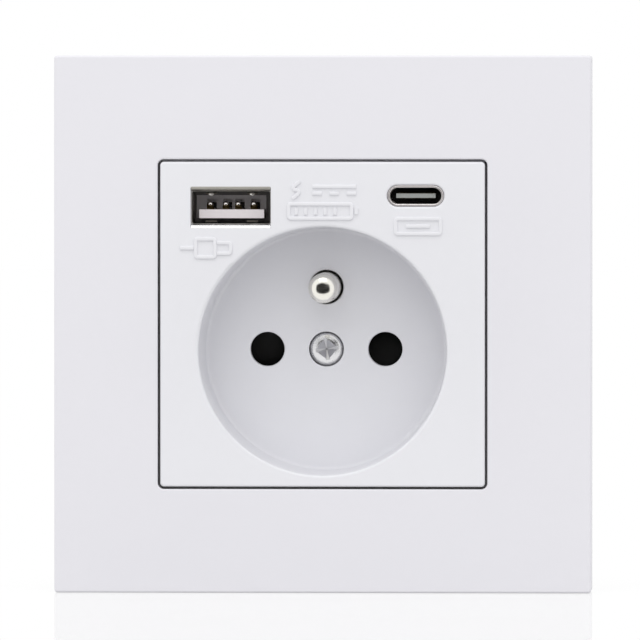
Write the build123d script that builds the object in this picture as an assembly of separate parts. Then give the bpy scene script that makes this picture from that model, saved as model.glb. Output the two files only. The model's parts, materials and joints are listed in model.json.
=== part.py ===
from build123d import *

import os
from math import asin, atan2, cos, degrees, hypot, radians, sin, sqrt

# Wall socket with a round plug recess, an earth pin and two charging ports.
# The origin is the middle of the wall plane: x to the right, y into the wall, z up.
# Sizes are in millimetres. Depths are y values, and the front faces -y.

# Cover frame: square plate with an open back and a window for the insert
FRAME_SIZE = 86.0
FRAME_DEPTH = 8.5  # wall plane to front face
FRAME_CORNER = 0.5
FRAME_EDGE = 0.35
FRAME_FACE = 2.2
FRAME_SIDE = 2.0
FRAME_COLLAR = 1.4  # wall round the window
FRAME_RIB = 1.0
FRAME_RIB_PLACE = 17.0  # middle of a side to each of its ribs
FRAME_RIB_GAP = 0.6  # rib to strap
WINDOW_EDGE = 0.3
LEDGE_THICK = 1.2
LEDGE_GAP = 0.35  # ledge to the cover's skirt

# Socket cover: square insert with the round plug recess
RECESS_D = 39.8
RECESS_DEPTH = 15.0
RECESS_TAPER = 0.4  # radius lost between rim and floor
RIM_MARGIN = 1.8  # insert's lower edge to the rim
PORT_STRIP = 10.4  # rim to the insert's upper edge, where the ports are
RIM_EDGE = 0.5
FLOOR_EDGE = 0.7
CUP_WALL = 1.4
FLOOR_WALL = 1.6
INSERT_CORNER = 0.6
INSERT_EDGE = 0.35
INSERT_GAP = 0.4  # insert to the frame's window
INSERT_FLANGE = 3.0
COVER_FACE = 2.4
SKIRT_INSET = 1.25
SKIRT_WALL = 1.4
SKIRT_GAP = 0.3  # skirt to strap
CUP_GAP = 0.4  # cup to what it passes through
BOSS_D = 8.4
BOSS_SEAT = 1.0  # material behind the centre screw's head

# Plug that the socket takes
PIN_PITCH = 19.0
PIN_HOLE_D = 5.5
PIN_HOLE_EDGE = 0.25
PLUG_PIN_D = 4.8
PLUG_PIN_LENGTH = 19.0
PIN_END_ROOM = 0.4
EARTH_RISE = 10.0  # earth pin above the line of the two pins
EARTH_REACH = 14.0  # earth pin above the recess floor
EARTH_TIP = 1.9
EARTH_COLLAR_D = 7.0
EARTH_COLLAR = 1.5
EARTH_SPIGOT_D = 3.0
EARTH_RIVET_D = 4.6
EARTH_RIVET = 0.8
EARTH_FIT = 0.1  # earth pin in the carrier

# Fits of screws
HEAD_GAP = 0.25  # round a sunk head
SHANK_GAP = 0.2  # round a shank that passes through
THREAD_GAP = 0.05  # round a shank in its thread

# Centre screw and the brass nut that takes it
CENTRE_HEAD_D = 5.15
CENTRE_HEAD = 2.0
CENTRE_SINK = 0.2  # head below the recess floor
CENTRE_SCREW_D = 3.0
CENTRE_RECESS_D = 3.4
CENTRE_RECESS_W = 0.8
CENTRE_RECESS = 1.0
CENTRE_TURN_DEG = 25.0
NUT_D = 5.0
NUT_LENGTH = 5.0
NUT_BOSS_D = 9.0
NUT_END = 0.5  # screw's tip inside the nut's end

# Mounting strap
STRAP_SIZE = 71.0
STRAP_THICK = 1.0
STRAP_CHAMFER = 7.0
STRAP_SHELF = 1.5  # strap inside the base's top wall
STRAP_PORT_GAP = 0.4  # strap to the ports
BOX_SCREW_SPACING = 60.0
SLOT_WIDTH = 4.2
SLOT_LENGTH = 8.0
SHORT_SLOT = 5.4
STRAP_HEAD_D = 5.0
STRAP_HEAD = 1.8
STRAP_SCREW_D = 2.6
STRAP_SCREW_LENGTH = 9.0
STRAP_HEAD_GAP = 0.6  # screw head to the cover's skirt

# Rear base: housing that goes into a round wall box
BOX_D = 64.0
BASE_WALL = 1.6
BASE_BACK = 1.8
BASE_EDGE = 1.0
BASE_SIDE_GAP = 1.3  # cup to the base's side walls
BASE_TOP_INSET = 1.6  # insert's upper edge to the base's inside
STRAP_BOSS_D = 6.0
CARRIER_BOSS_D = 5.2
BARRIER = 1.2
BARRIER_GAP = 0.3
VENT_COUNT = 6  # slots in the back, behind the charger
VENT_PITCH = 3.2
VENT_WIDTH = 1.2
VENT_LENGTH = 7.0
HOOK_PLACE = 12.0
HOOK_WIDTH = 5.0
HOOK_THICK = 1.0
HOOK_REACH = 1.5  # hook in front of the strap
HOOK_BARB = 0.7
HOOK_GAP = 0.25
REST_WIDTH = 2.0
LUG_WIDTH = 0.8
LUG_THICK = 0.6

# Contact carrier: moulded plate behind the shutter
CARRIER_INSET = 2.8  # base's side wall to the carrier's edge
CARRIER_THICK = 1.6
CARRIER_PIN_GAP = 0.4  # plug pin in the carrier's hole
CARRIER_SCREW_INSET = 8.1  # base's side wall to the carrier's screws
CARRIER_SCREW_RISE = 9.8
CARRIER_HEAD_D = 4.4
CARRIER_HEAD = 1.6
CARRIER_SCREW_D = 2.2
CARRIER_SCREW_LENGTH = 8.0

# Shutter: two ramped wings on a hub that turns round the centre boss
SHUTTER_PLAY = 0.3
WING_THICK = 2.6
WING_MARGIN = 0.95  # wing past the pin hole
WING_MARGIN_DEG = 3.2
RAMP_DROP = 1.8
HUB_WALL = 1.6
HUB_GAP = 0.1
STOP_D = 1.6
STOP_INSET = 1.0
STOP_GAP = 0.15
STOP_PLAY = 0.4  # stop to the recess floor's back
PEG_D = 1.2
PEG_DEG = 4.0
ANCHOR_DEG = 90.0

# Shutter's return spring
WIRE_D = 0.45
SPRING_SPACE = 1.9
SPRING_GAP = 0.3  # coil to hub
SPRING_END_GAP = 0.2
SPRING_TURNS = 1
LEG_LENGTH = 6.3
LEG_CONTACT = 5.5
LEG_GAP = 0.05

# Brass contacts, strips and terminals
JAW_WALL = 0.6
JAW_GRIP = 0.1  # jaw tighter than the plug pin
JAW_SPLIT = 2.6
JAW_GAP = 0.2  # jaw to carrier
JAW_MOUTH = 0.35
JAW_MOUTH_DEPTH = 0.8
STRIP = 0.8
ARM_WIDTH = 2.4
TAIL_WIDTH = 2.0
TAIL_INSET = 2.4
TAIL_GAP = 1.0  # tail to the barrier above it
BAR_WIDTH = 7.0
BAR_THICK = 1.0
BAR_GAP = 0.6  # earth bar to the nut's boss
TERMINAL_WIDTH = 8.0
TERMINAL_HEIGHT = 7.0
TERMINAL_LENGTH = 7.2
TERMINAL_BOSS_GAP = 0.35  # terminal to the strap screw's boss
TERMINAL_GAP = 1.2  # terminal to the base's wall
WIRE_BORE_D = 4.2
WIRE_BORE = 6.0
WIRE_ENTRY_D = 3.8
WIRE_FUNNEL = 0.7
TERMINAL_SCREW_D = 3.0
TERMINAL_HEAD_D = 4.2
TERMINAL_HEAD = 1.8
TERMINAL_HEAD_RISE = 0.3
ACCESS_GAP = 0.4

# Charger board and its parts
BOARD_THICK = 1.6
BOARD_GAP = 0.4
BOARD_TOP_GAP = 0.2
BOARD_LEG = 4.5  # board below the tail's upper face
CORE_WIDTH = 11.0
CORE_LENGTH = 11.0
CORE_HEIGHT = 5.0
CORE_LEG = 2.0
CORE_MIDDLE = 3.0
CORE_INSET = 2.7
WINDING_HEIGHT = 8.6
WINDING_EDGE = 1.2
WINDING_GAP = 0.2
INPUT_CAN_D = 8.0
INPUT_CAN_LENGTH = 12.0
INPUT_CAN_INSET = 3.7
OUTPUT_CAN_D = 6.3
OUTPUT_CAN_LENGTH = 9.0
OUTPUT_CAN_COUNT = 2
CAN_TOP_GAP = 0.4
PART_WALL_GAP = 0.4  # board's parts to the base's round wall
CAN_GROOVE = 0.35
CAN_GROOVE_PLACE = 1.3
CHIP_GAP = 0.8  # least gap beside a chip
CHIP_WIDTH = 4.4
CHIP_HEIGHT = 3.6
CHIP_THICK = 1.2
CHIP_TOP_GAP = 1.4

# Larger charging port
USB_A_MARGIN = 4.75  # insert's left edge to the port
USB_A_WIDTH = 13.1
USB_A_HEIGHT = 5.72
USB_A_LENGTH = 12.2
USB_A_CORNER = 0.6
USB_A_CUP_GAP = 0.39  # port's lower corner to the cup
SHEET_WALL = 0.3
PORT_WALL_GAP = 0.3  # port to the base's round wall
PORT_LIP = 1.4
PORT_GAP = 0.1
POCKET_GAP = 0.3
LIP_COVER = 0.2  # lip over the shell's edge
MOUTH_WIDE = 0.1
MOUTH_HIGH = 0.7
MOUTH_CORNER = 0.25
TONGUE_A_WIDTH = 10.4
TONGUE_A_THICK = 1.4
TONGUE_A_DROP = 1.03
TONGUE_A_SINK = 1.8
BLOCK_A = 3.2
FIT_GAP = 0.05
CONTACT_A_PLACES = (-3.5, -1.0, 1.0, 3.5)
CONTACT_A_WIDTH = 1.0
CONTACT_A_THICK = 0.25
CONTACT_A_ARCH = 0.75
CONTACT_A_END = 0.6
CONTACT_A_FOOT = 3.4
NOTCH_WIDTH = 1.5  # notches in the block, which the contacts come out of
NOTCH_HEIGHT = 1.6
NOTCH_DEPTH = 2.4
FINGER_PLACE = 3.3
FINGER_WIDTH = 1.8
FINGER_SLOT = 0.3
FINGER_LENGTH = 5.0
FINGER_START = 1.6
FINGER_BEND = 0.5

# Smaller charging port
USB_C_MARGIN = 6.63  # insert's right edge to the port
USB_C_RISE = 1.9  # above the larger port's middle
USB_C_WIDTH = 8.94
USB_C_HEIGHT = 3.26
USB_C_WALL = 0.35
USB_C_GAP = 0.1
USB_C_SINK = 0.4
USB_C_EDGE = 0.35
TONGUE_C_WIDTH = 6.3
TONGUE_C_THICK = 0.7
TONGUE_C_SINK = 1.5
BLOCK_C = 6.7
CONTACT_C_COUNT = 12
CONTACT_C_PITCH = 0.5
CONTACT_C_WIDTH = 0.25
CONTACT_C_THICK = 0.08
CONTACT_C_END = 0.4

CUT = 1.0  # how far a cut runs past the surface it opens

# Insert, recess and cup
insert_size = RIM_MARGIN + RECESS_D + PORT_STRIP
window_size = insert_size + 2 * INSERT_GAP
recess_z = RIM_MARGIN + RECESS_D / 2 - insert_size / 2
cup_r = RECESS_D / 2 + CUP_WALL
skirt_half = insert_size / 2 - SKIRT_INSET
skirt_inner = skirt_half - SKIRT_WALL

# Depths, from the front to the back
front_y = -FRAME_DEPTH
flange_back = front_y + INSERT_FLANGE
ledge_back = flange_back + LEDGE_THICK
skirt_back = -STRAP_THICK - SKIRT_GAP
floor_y = front_y + RECESS_DEPTH
floor_back = floor_y + FLOOR_WALL
head_seat = floor_y + CENTRE_SINK + CENTRE_HEAD
boss_back = head_seat + BOSS_SEAT
wing_front = floor_back + SHUTTER_PLAY
wing_back = wing_front + WING_THICK
hub_back = wing_back + SPRING_SPACE
carrier_front = hub_back + SHUTTER_PLAY
carrier_back = carrier_front + CARRIER_THICK
nut_back = carrier_back + NUT_LENGTH
bar_front = nut_back + BAR_GAP
bar_back = bar_front + BAR_THICK
strip_front = floor_y + PLUG_PIN_LENGTH + PIN_END_ROOM
inner_back = strip_front + STRIP
base_back = inner_back + BASE_BACK
usb_a_front = front_y + PORT_LIP + PORT_GAP
usb_c_front = front_y + USB_C_SINK
board_front = usb_a_front + USB_A_LENGTH
board_back = board_front + BOARD_THICK

# Inside of the base
base_round = BOX_D / 2 - BASE_WALL
inner_half = cup_r + BASE_SIDE_GAP
inner_top = insert_size / 2 - BASE_TOP_INSET
inner_bottom = recess_z - cup_r - CUP_GAP
barrier_z = recess_z + EARTH_RISE + BAR_WIDTH / 2 + BARRIER_GAP
strap_screw = skirt_inner - STRAP_HEAD_D / 2 - STRAP_HEAD_GAP

# Plug pins and jaws
pin_x = PIN_PITCH / 2
earth_z = recess_z + EARTH_RISE
jaw_inner = PLUG_PIN_D / 2 - JAW_GRIP
jaw_outer = jaw_inner + JAW_WALL
carrier_screw_x = inner_half - CARRIER_SCREW_INSET
carrier_screw_z = recess_z + CARRIER_SCREW_RISE

# Terminals and the tails of the contacts
terminal_low = -strap_screw + STRAP_BOSS_D / 2 + TERMINAL_BOSS_GAP
terminal_z = terminal_low + TERMINAL_HEIGHT / 2
terminal_top = terminal_low + TERMINAL_HEIGHT
terminal_out = min(inner_half, sqrt(base_round**2 - terminal_low**2)) - TERMINAL_GAP
terminal_in = terminal_out - TERMINAL_WIDTH
terminal_front = inner_back - TERMINAL_LENGTH
earth_low = inner_bottom + TERMINAL_GAP
earth_top = earth_low + TERMINAL_WIDTH
earth_terminal_z = (earth_low + earth_top) / 2
terminal_y = (terminal_front + inner_back) / 2
barrier_x = (TERMINAL_HEIGHT / 2 + terminal_in) / 2
tail_out = inner_half - TAIL_INSET
tail_in = tail_out - TAIL_WIDTH
tail_top = barrier_z - TAIL_GAP

# Shutter, seen from the front: angles run clockwise from +x
hub_bore = BOSS_D / 2 + HUB_GAP
hub_r = hub_bore + HUB_WALL
wing_r = pin_x + PIN_HOLE_D / 2 + WING_MARGIN
wing_deg = degrees(asin(PIN_HOLE_D / PIN_PITCH)) + WING_MARGIN_DEG
shutter_travel = 2 * wing_deg
stop_r = wing_r - STOP_INSET
stop_deg = degrees(asin((STOP_D / 2 + STOP_GAP) / stop_r))
spring_r = hub_r + SPRING_GAP + WIRE_D / 2
peg_r = spring_r + WIRE_D / 2 + LEG_GAP + PEG_D / 2
leg_deg = degrees(atan2(LEG_CONTACT, peg_r))
spring_start = PEG_DEG - leg_deg
spring_end = ANCHOR_DEG + leg_deg


def farthest_out(width, height, corner, cup_reach, wall_reach):
    """Inner edge's distance from the middle for a piece that stands on the cup, under the round wall.

    Its lower inner corner is cup_reach from the recess middle, and the rounding of its upper
    outer corner touches a circle of radius wall_reach about the base's middle. Under a wider
    wall it comes down to the cup's side.
    """
    across = width - corner
    rise = recess_z + height - corner
    span = hypot(across, rise)
    reach = wall_reach - corner
    along = min(cup_reach, (reach**2 - cup_reach**2 - span**2) / (2 * span))
    return (along * across - sqrt(cup_reach**2 - along**2) * rise) / span


def under_wall(x, wall_reach):
    """Height of the circle of radius wall_reach about the base's middle, at a distance x."""
    return sqrt(wall_reach**2 - x**2)


def spread(low, high, width, count):
    """Middles of equal pieces spread evenly between two ends."""
    gap = (high - low - count * width) / (count + 1)
    return [low + gap + width / 2 + number * (gap + width) for number in range(count)]


# Charging ports, each as far out as the insert and the base's round wall let it be
port_round = base_round - PORT_WALL_GAP
usb_a_reach = cup_r + USB_A_CUP_GAP
usb_a_near = min(
    insert_size / 2 - USB_A_MARGIN - USB_A_WIDTH,
    farthest_out(USB_A_WIDTH, USB_A_HEIGHT, USB_A_CORNER, usb_a_reach, port_round),
)
usb_a_x = -usb_a_near - USB_A_WIDTH / 2
usb_a_low = recess_z + under_wall(usb_a_near, usb_a_reach)
usb_a_z = usb_a_low + USB_A_HEIGHT / 2
usb_a_top = usb_a_low + USB_A_HEIGHT
strap_window_top = max(inner_top - STRAP_SHELF, usb_a_top + STRAP_PORT_GAP)
usb_c_z = min(
    usb_a_z + USB_C_RISE,
    strap_window_top - STRAP_PORT_GAP - USB_C_HEIGHT / 2,
)
usb_c_straight = (USB_C_WIDTH - USB_C_HEIGHT) / 2
usb_c_x = min(
    insert_size / 2 - USB_C_MARGIN - USB_C_WIDTH / 2,
    under_wall(usb_c_z, port_round - USB_C_HEIGHT / 2) - usb_c_straight,
)
usb_c_near = usb_c_x - USB_C_WIDTH / 2

# Charger board and the row of parts on its back, from left to right
part_round = base_round - PART_WALL_GAP
board_half = inner_half - BOARD_GAP
board_top = inner_top - BOARD_TOP_GAP
board_low = tail_top - BOARD_LEG
row_top = board_top - CAN_TOP_GAP
input_can_r = INPUT_CAN_D / 2
input_can_x = -(board_half - INPUT_CAN_INSET - input_can_r)
input_can_z = min(row_top - input_can_r, under_wall(input_can_x, part_round - input_can_r))
winding_width = CORE_WIDTH - 2 * CORE_LEG - 2 * WINDING_GAP
core_near = min(
    board_half - CORE_INSET - CORE_WIDTH,
    farthest_out(CORE_WIDTH, CORE_HEIGHT, 0, cup_r + CUP_GAP, part_round),
)
core_x = core_near + CORE_WIDTH / 2
core_z = min(
    row_top - WINDING_HEIGHT / 2,
    under_wall(core_x + CORE_WIDTH / 2, part_round) - CORE_HEIGHT / 2,
    under_wall(core_x + winding_width / 2, part_round) - WINDING_HEIGHT / 2,
)
core_y = board_back + CORE_LENGTH / 2
output_can_z = row_top - OUTPUT_CAN_D / 2
output_can_places = spread(input_can_x + input_can_r, core_near, OUTPUT_CAN_D, OUTPUT_CAN_COUNT)
chip_room = usb_c_near + usb_a_near - CHIP_GAP
chip_count = int(chip_room / (CHIP_WIDTH + CHIP_GAP))
chip_places = spread(-usb_a_near, usb_c_near, CHIP_WIDTH, chip_count)


def at_depth(y):
    """Drawing plane as seen from the front, x right and z up, at depth y."""
    return Plane(origin=(0, y, 0), x_dir=(1, 0, 0), z_dir=(0, -1, 0))


def slab(outline, front, back):
    """Solid with an outline drawn as seen from the front, between two depths."""
    return extrude(at_depth(back) * outline, back - front)


def rect(x, z):
    """Rectangle from (low, high) pairs, as seen from the front."""
    return Pos((x[0] + x[1]) / 2, (z[0] + z[1]) / 2) * Rectangle(x[1] - x[0], z[1] - z[0])


def block(x, y, z):
    """Rectangular block from three (low, high) pairs."""
    return slab(rect(x, z), *y)


def rod(diameter, front, back, x=0.0, z=0.0):
    """Round bar along the depth."""
    return slab(Pos(x, z) * Circle(diameter / 2), front, back)


def turned(points, x=0.0, z=0.0):
    """Turned solid about a line along the depth, from (radius, depth) points."""
    return Pos(x, 0, z) * revolve(make_face(Polyline(*points, close=True)), Axis.Y)


def side_prism(outline, x):
    """Solid with an outline drawn in (depth, height), along x between a (low, high) pair."""
    plane = Plane(origin=(x[0], 0, 0), x_dir=(0, 1, 0), z_dir=(1, 0, 0))
    return extrude(plane * outline, x[1] - x[0])


def both_sides(shape):
    """A shape with its mirror image on the other side of the middle."""
    return shape + mirror(shape, about=Plane.YZ)


def clockwise(angle, out, along=0.0):
    """Point (x, z) about the recess middle: out along a clockwise angle, then across it."""
    turn = radians(angle)
    x = out * cos(turn) - along * sin(turn)
    z = recess_z - out * sin(turn) - along * cos(turn)
    return x, z


def cup_radius(y, wall):
    """Radius of the tapered recess wall at a depth, with a wall thickness outside it."""
    return RECESS_D / 2 + wall - RECESS_TAPER * (y - front_y) / RECESS_DEPTH


def pan_screw(head_d, head, shank_d, length, seat, x, z):
    """Pan-head screw that points into the wall, with its head's seat at a depth."""
    crown = head / 2
    points = [
        (0, seat - head),
        (head_d / 2 - crown, seat - head),
        (head_d / 2, seat - crown),
        (head_d / 2, seat),
        (shank_d / 2, seat),
        (shank_d / 2, seat + length - shank_d / 4),
        (shank_d / 4, seat + length),
        (0, seat + length),
    ]
    return turned(points, x, z)


def cover_frame():
    """Square outer plate: an open-backed shell with a collared window and a ledge."""
    plate = slab(RectangleRounded(FRAME_SIZE, FRAME_SIZE, FRAME_CORNER), front_y, 0)
    plate = fillet(plate.edges().group_by(Axis.Y)[0], FRAME_EDGE)
    hollow = FRAME_SIZE - 2 * FRAME_SIDE
    face_back = front_y + FRAME_FACE
    plate -= slab(Rectangle(hollow, hollow), face_back, CUT)
    window = RectangleRounded(window_size, window_size, INSERT_CORNER + INSERT_GAP)
    plate -= slab(window, front_y - CUT, face_back + CUT)
    window_edges = plate.edges().group_by(Axis.Y)[0].filter_by(inside_window)
    plate = fillet(window_edges, WINDOW_EDGE)

    collar_size = window_size + 2 * FRAME_COLLAR
    collar = Rectangle(collar_size, collar_size)
    plate += slab(collar - window, face_back, ledge_back)
    opening = 2 * (skirt_half + LEDGE_GAP)
    cup_relief = Pos(0, recess_z) * Circle(cup_r + CUP_GAP)
    ledge = collar - Rectangle(opening, opening) - cup_relief
    plate += slab(ledge, flange_back, ledge_back)

    rib_back = -STRAP_THICK - FRAME_RIB_GAP
    rib_low = collar_size / 2 - FRAME_COLLAR / 2
    rib_high = FRAME_SIZE / 2 - FRAME_SIDE / 2
    rib = block(
        (FRAME_RIB_PLACE - FRAME_RIB / 2, FRAME_RIB_PLACE + FRAME_RIB / 2),
        (face_back, rib_back),
        (rib_low, rib_high),
    )
    for quarter in range(4):
        plate += Rot(0, 90 * quarter, 0) * both_sides(rib)
    return plate


def inside_window(edge):
    """Is this edge part of the window's outline, not of the frame's outside?"""
    middle = edge.center()
    return max(abs(middle.X), abs(middle.Z)) < (window_size + FRAME_SIZE) / 4


def plug_cup():
    """Outside of the plug recess: a tapered cup with a rounded floor and a screw boss."""
    start = front_y + COVER_FACE / 2
    points = [
        (0, start),
        (cup_radius(start, CUP_WALL), start),
        (cup_radius(floor_back, CUP_WALL), floor_back),
        (0, floor_back),
    ]
    cup = turned(points, z=recess_z)
    cup = fillet(cup.edges().sort_by(Axis.Y)[-1], FLOOR_EDGE)
    return cup + rod(BOSS_D, floor_y, boss_back, z=recess_z)


def plug_recess():
    """Space inside the plug recess, with the floor's rounded corner."""
    points = [
        (0, front_y),
        (cup_radius(front_y, 0), front_y),
        (cup_radius(floor_y, 0), floor_y),
        (0, floor_y),
    ]
    space = turned(points, z=recess_z)
    return fillet(space.edges().sort_by(Axis.Y)[-1], FLOOR_EDGE)


def port_windows():
    """Cuts for the two charging ports: a flared mouth with a pocket, and a rounded slot."""
    mouth_width = USB_A_WIDTH - 2 * LIP_COVER
    mouth_height = USB_A_HEIGHT - 2 * LIP_COVER
    lip_back = front_y + PORT_LIP
    place = Pos(usb_a_x, usb_a_z)
    wide = RectangleRounded(
        mouth_width + 2 * MOUTH_WIDE, mouth_height + 2 * MOUTH_HIGH, MOUTH_CORNER
    )
    narrow = RectangleRounded(mouth_width, mouth_height, MOUTH_CORNER)
    mouth = loft([at_depth(front_y) * place * wide, at_depth(lip_back) * place * narrow])
    pocket = Rectangle(USB_A_WIDTH + 2 * POCKET_GAP, USB_A_HEIGHT + 2 * POCKET_GAP)
    slot = SlotOverall(USB_C_WIDTH + 2 * USB_C_GAP, USB_C_HEIGHT + 2 * USB_C_GAP)
    return (
        mouth
        + slab(place * pocket, lip_back, skirt_back)
        + slab(Pos(usb_c_x, usb_c_z) * slot, front_y - CUT, skirt_back)
    )


def on_usb_c_slot(edge):
    """Is this edge part of the smaller port's slot?"""
    middle = edge.center()
    wide = abs(middle.X - usb_c_x) < USB_C_WIDTH / 2 + 2 * USB_C_GAP
    return wide and abs(middle.Z - usb_c_z) < USB_C_HEIGHT / 2 + 2 * USB_C_GAP


def on_pin_hole_front(edge):
    """Is this edge the front edge of one of the pin holes in the recess floor?"""
    if edge.geom_type != GeomType.CIRCLE:
        return False
    at_floor = abs(edge.arc_center.Y - floor_y) < FIT_GAP
    return at_floor and abs(edge.radius - PIN_HOLE_D / 2) < FIT_GAP


def socket_cover():
    """Square insert: flange, skirt, tapered plug recess with its holes, and port windows."""
    outline = RectangleRounded(insert_size, insert_size, INSERT_CORNER)
    cover = slab(outline, front_y, flange_back)
    cover = fillet(cover.edges().group_by(Axis.Y)[0], INSERT_EDGE)
    skirt_space = Rectangle(2 * skirt_inner, 2 * skirt_inner)
    cover -= slab(skirt_space, front_y + COVER_FACE, flange_back + CUT)
    skirt = RectangleRounded(2 * skirt_half, 2 * skirt_half, INSERT_CORNER) - skirt_space
    cover += slab(skirt, front_y + COVER_FACE, skirt_back)
    cover += plug_cup()
    cover -= plug_recess()
    rim = cover.edges().group_by(Axis.Y)[0].filter_by(GeomType.CIRCLE).sort_by(SortBy.RADIUS)[-1]
    cover = fillet(rim, RIM_EDGE)
    for x, z in ((-pin_x, recess_z), (pin_x, recess_z), (0, earth_z)):
        cover -= rod(PIN_HOLE_D, floor_y - CUT, floor_back + CUT, x, z)
    cover = fillet(cover.edges().filter_by(on_pin_hole_front), PIN_HOLE_EDGE)
    cover -= rod(CENTRE_HEAD_D + 2 * HEAD_GAP, floor_y - CUT, head_seat, 0, recess_z)
    cover -= rod(CENTRE_SCREW_D + 2 * SHANK_GAP, floor_y, boss_back + CUT, 0, recess_z)
    cover -= port_windows()
    slot_edges = cover.edges().group_by(Axis.Y)[0].filter_by(on_usb_c_slot)
    return fillet(slot_edges, USB_C_EDGE)


def cross_recess(turn):
    """Tapered cross-shaped driver recess, pointing into the wall from the origin."""
    tip = CENTRE_RECESS_W / CENTRE_RECESS_D
    arm = loft(
        [
            at_depth(0) * Rectangle(CENTRE_RECESS_D, CENTRE_RECESS_W),
            at_depth(CENTRE_RECESS) * Rectangle(CENTRE_RECESS_D / 2, CENTRE_RECESS_W * (1 - tip)),
        ]
    )
    return Rot(0, turn, 0) * arm + Rot(0, turn + 90, 0) * arm


def centre_screw():
    """Screw with a low domed head that holds the cover to the carrier."""
    seat = head_seat
    length = nut_back - NUT_END - seat
    screw = pan_screw(CENTRE_HEAD_D, CENTRE_HEAD, CENTRE_SCREW_D, length, seat, 0, recess_z)
    return screw - Pos(0, seat - CENTRE_HEAD, recess_z) * cross_recess(CENTRE_TURN_DEG)


def strap_window():
    """Opening in the strap for the cup and the ports."""
    ports = rect((-inner_half, inner_half), (recess_z, strap_window_top))
    return ports + Pos(0, recess_z) * Circle(cup_r + CUP_GAP)


def mounting_strap():
    """Flat steel strap with slots for the wall box's screws."""
    square = Rectangle(STRAP_SIZE, STRAP_SIZE)
    outline = chamfer(square.vertices(), STRAP_CHAMFER) - strap_window()
    reach = BOX_SCREW_SPACING / 2
    for side in (-1, 1):
        outline -= Pos(side * reach, 0) * SlotOverall(SLOT_LENGTH, SLOT_WIDTH)
        outline -= Pos(0, side * reach) * Rot(0, 0, 90) * SlotOverall(SHORT_SLOT, SLOT_WIDTH)
        hole = Circle(STRAP_SCREW_D / 2 + SHANK_GAP)
        outline -= Pos(side * strap_screw, -strap_screw) * hole
        hook_low = skirt_half + HOOK_GAP / 2
        hook_high = skirt_half + HOOK_GAP + HOOK_THICK + HOOK_GAP
        half = HOOK_WIDTH / 2 + HOOK_GAP
        middle = side * HOOK_PLACE
        outline -= rect((middle - half, middle + half), (hook_low, hook_high))
    return slab(outline, -STRAP_THICK, 0)


def strap_screws():
    """Two screws from the strap into the base."""
    screw = pan_screw(
        STRAP_HEAD_D,
        STRAP_HEAD,
        STRAP_SCREW_D,
        STRAP_SCREW_LENGTH,
        -STRAP_THICK,
        strap_screw,
        -strap_screw,
    )
    return both_sides(screw)


def base_outline(grow):
    """Outline of the base's inside, grown by a wall: a rectangle cut to the round wall box."""
    half = inner_half + grow
    middle = rect((-half, half), (inner_bottom - grow, inner_top + grow))
    return middle & Circle(base_round + grow)


def hook():
    """One of the base's hooks, which catch the strap's front."""
    low = skirt_half + HOOK_GAP
    high = low + HOOK_THICK
    barb_back = -STRAP_THICK - FIT_GAP
    tip = -STRAP_THICK - HOOK_REACH
    outline = Polyline(
        (BASE_WALL, low),
        (tip, low),
        (tip, high),
        (barb_back, high + HOOK_BARB),
        (barb_back, high),
        (BASE_WALL, high),
        close=True,
    )
    return side_prism(
        make_face(outline), (HOOK_PLACE - HOOK_WIDTH / 2, HOOK_PLACE + HOOK_WIDTH / 2)
    )


def base_inside():
    """Bosses, barriers and board rests inside the base."""
    bosses = rod(STRAP_BOSS_D, 0, inner_back, strap_screw, -strap_screw)
    bosses += rod(CARRIER_BOSS_D, carrier_back, inner_back, carrier_screw_x, carrier_screw_z)
    bosses += block(
        (barrier_x - BARRIER / 2, barrier_x + BARRIER / 2),
        (carrier_back, inner_back),
        (inner_bottom, terminal_top),
    )
    rest_low = barrier_z + BARRIER
    bosses += block(
        (inner_half - REST_WIDTH, inner_half),
        (board_back, inner_back),
        (rest_low, rest_low + REST_WIDTH),
    )
    bosses += block(
        (inner_half - LUG_WIDTH, inner_half),
        (board_front - LUG_THICK, board_front),
        (rest_low, rest_low + REST_WIDTH),
    )
    inside = both_sides(bosses)
    inside += block(
        (-inner_half, inner_half),
        (floor_back + BARRIER_GAP, inner_back),
        (barrier_z, barrier_z + BARRIER),
    )
    left_gap = (input_can_x + input_can_r + output_can_places[0] - OUTPUT_CAN_D / 2) / 2
    right_gap = (output_can_places[-1] + OUTPUT_CAN_D / 2 + core_near) / 2
    for x in (left_gap, right_gap):
        inside += block(
            (x - BARRIER / 2, x + BARRIER / 2),
            (board_back, inner_back),
            (inner_top - REST_WIDTH, inner_top),
        )
    return inside


def wire_entry(x, z):
    """Funnel through the base's back, in line with a terminal's wire bore."""
    points = [
        (0, inner_back - CUT),
        (WIRE_ENTRY_D / 2, inner_back - CUT),
        (WIRE_ENTRY_D / 2, base_back - WIRE_FUNNEL),
        (WIRE_ENTRY_D / 2 + WIRE_FUNNEL, base_back),
        (WIRE_ENTRY_D / 2 + WIRE_FUNNEL, base_back + CUT),
        (0, base_back + CUT),
    ]
    return turned(points, x, z)


def vents():
    """Row of narrow slots through the base's back, behind the charger."""
    slot = Rot(0, 0, 90) * SlotOverall(VENT_LENGTH, VENT_WIDTH)
    height = (barrier_z + BARRIER + inner_top) / 2
    first = -VENT_PITCH * (VENT_COUNT - 1) / 2
    row = Sketch() + [Pos(first + number * VENT_PITCH, height) * slot for number in range(VENT_COUNT)]
    return slab(row, inner_back, base_back + CUT)


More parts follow.
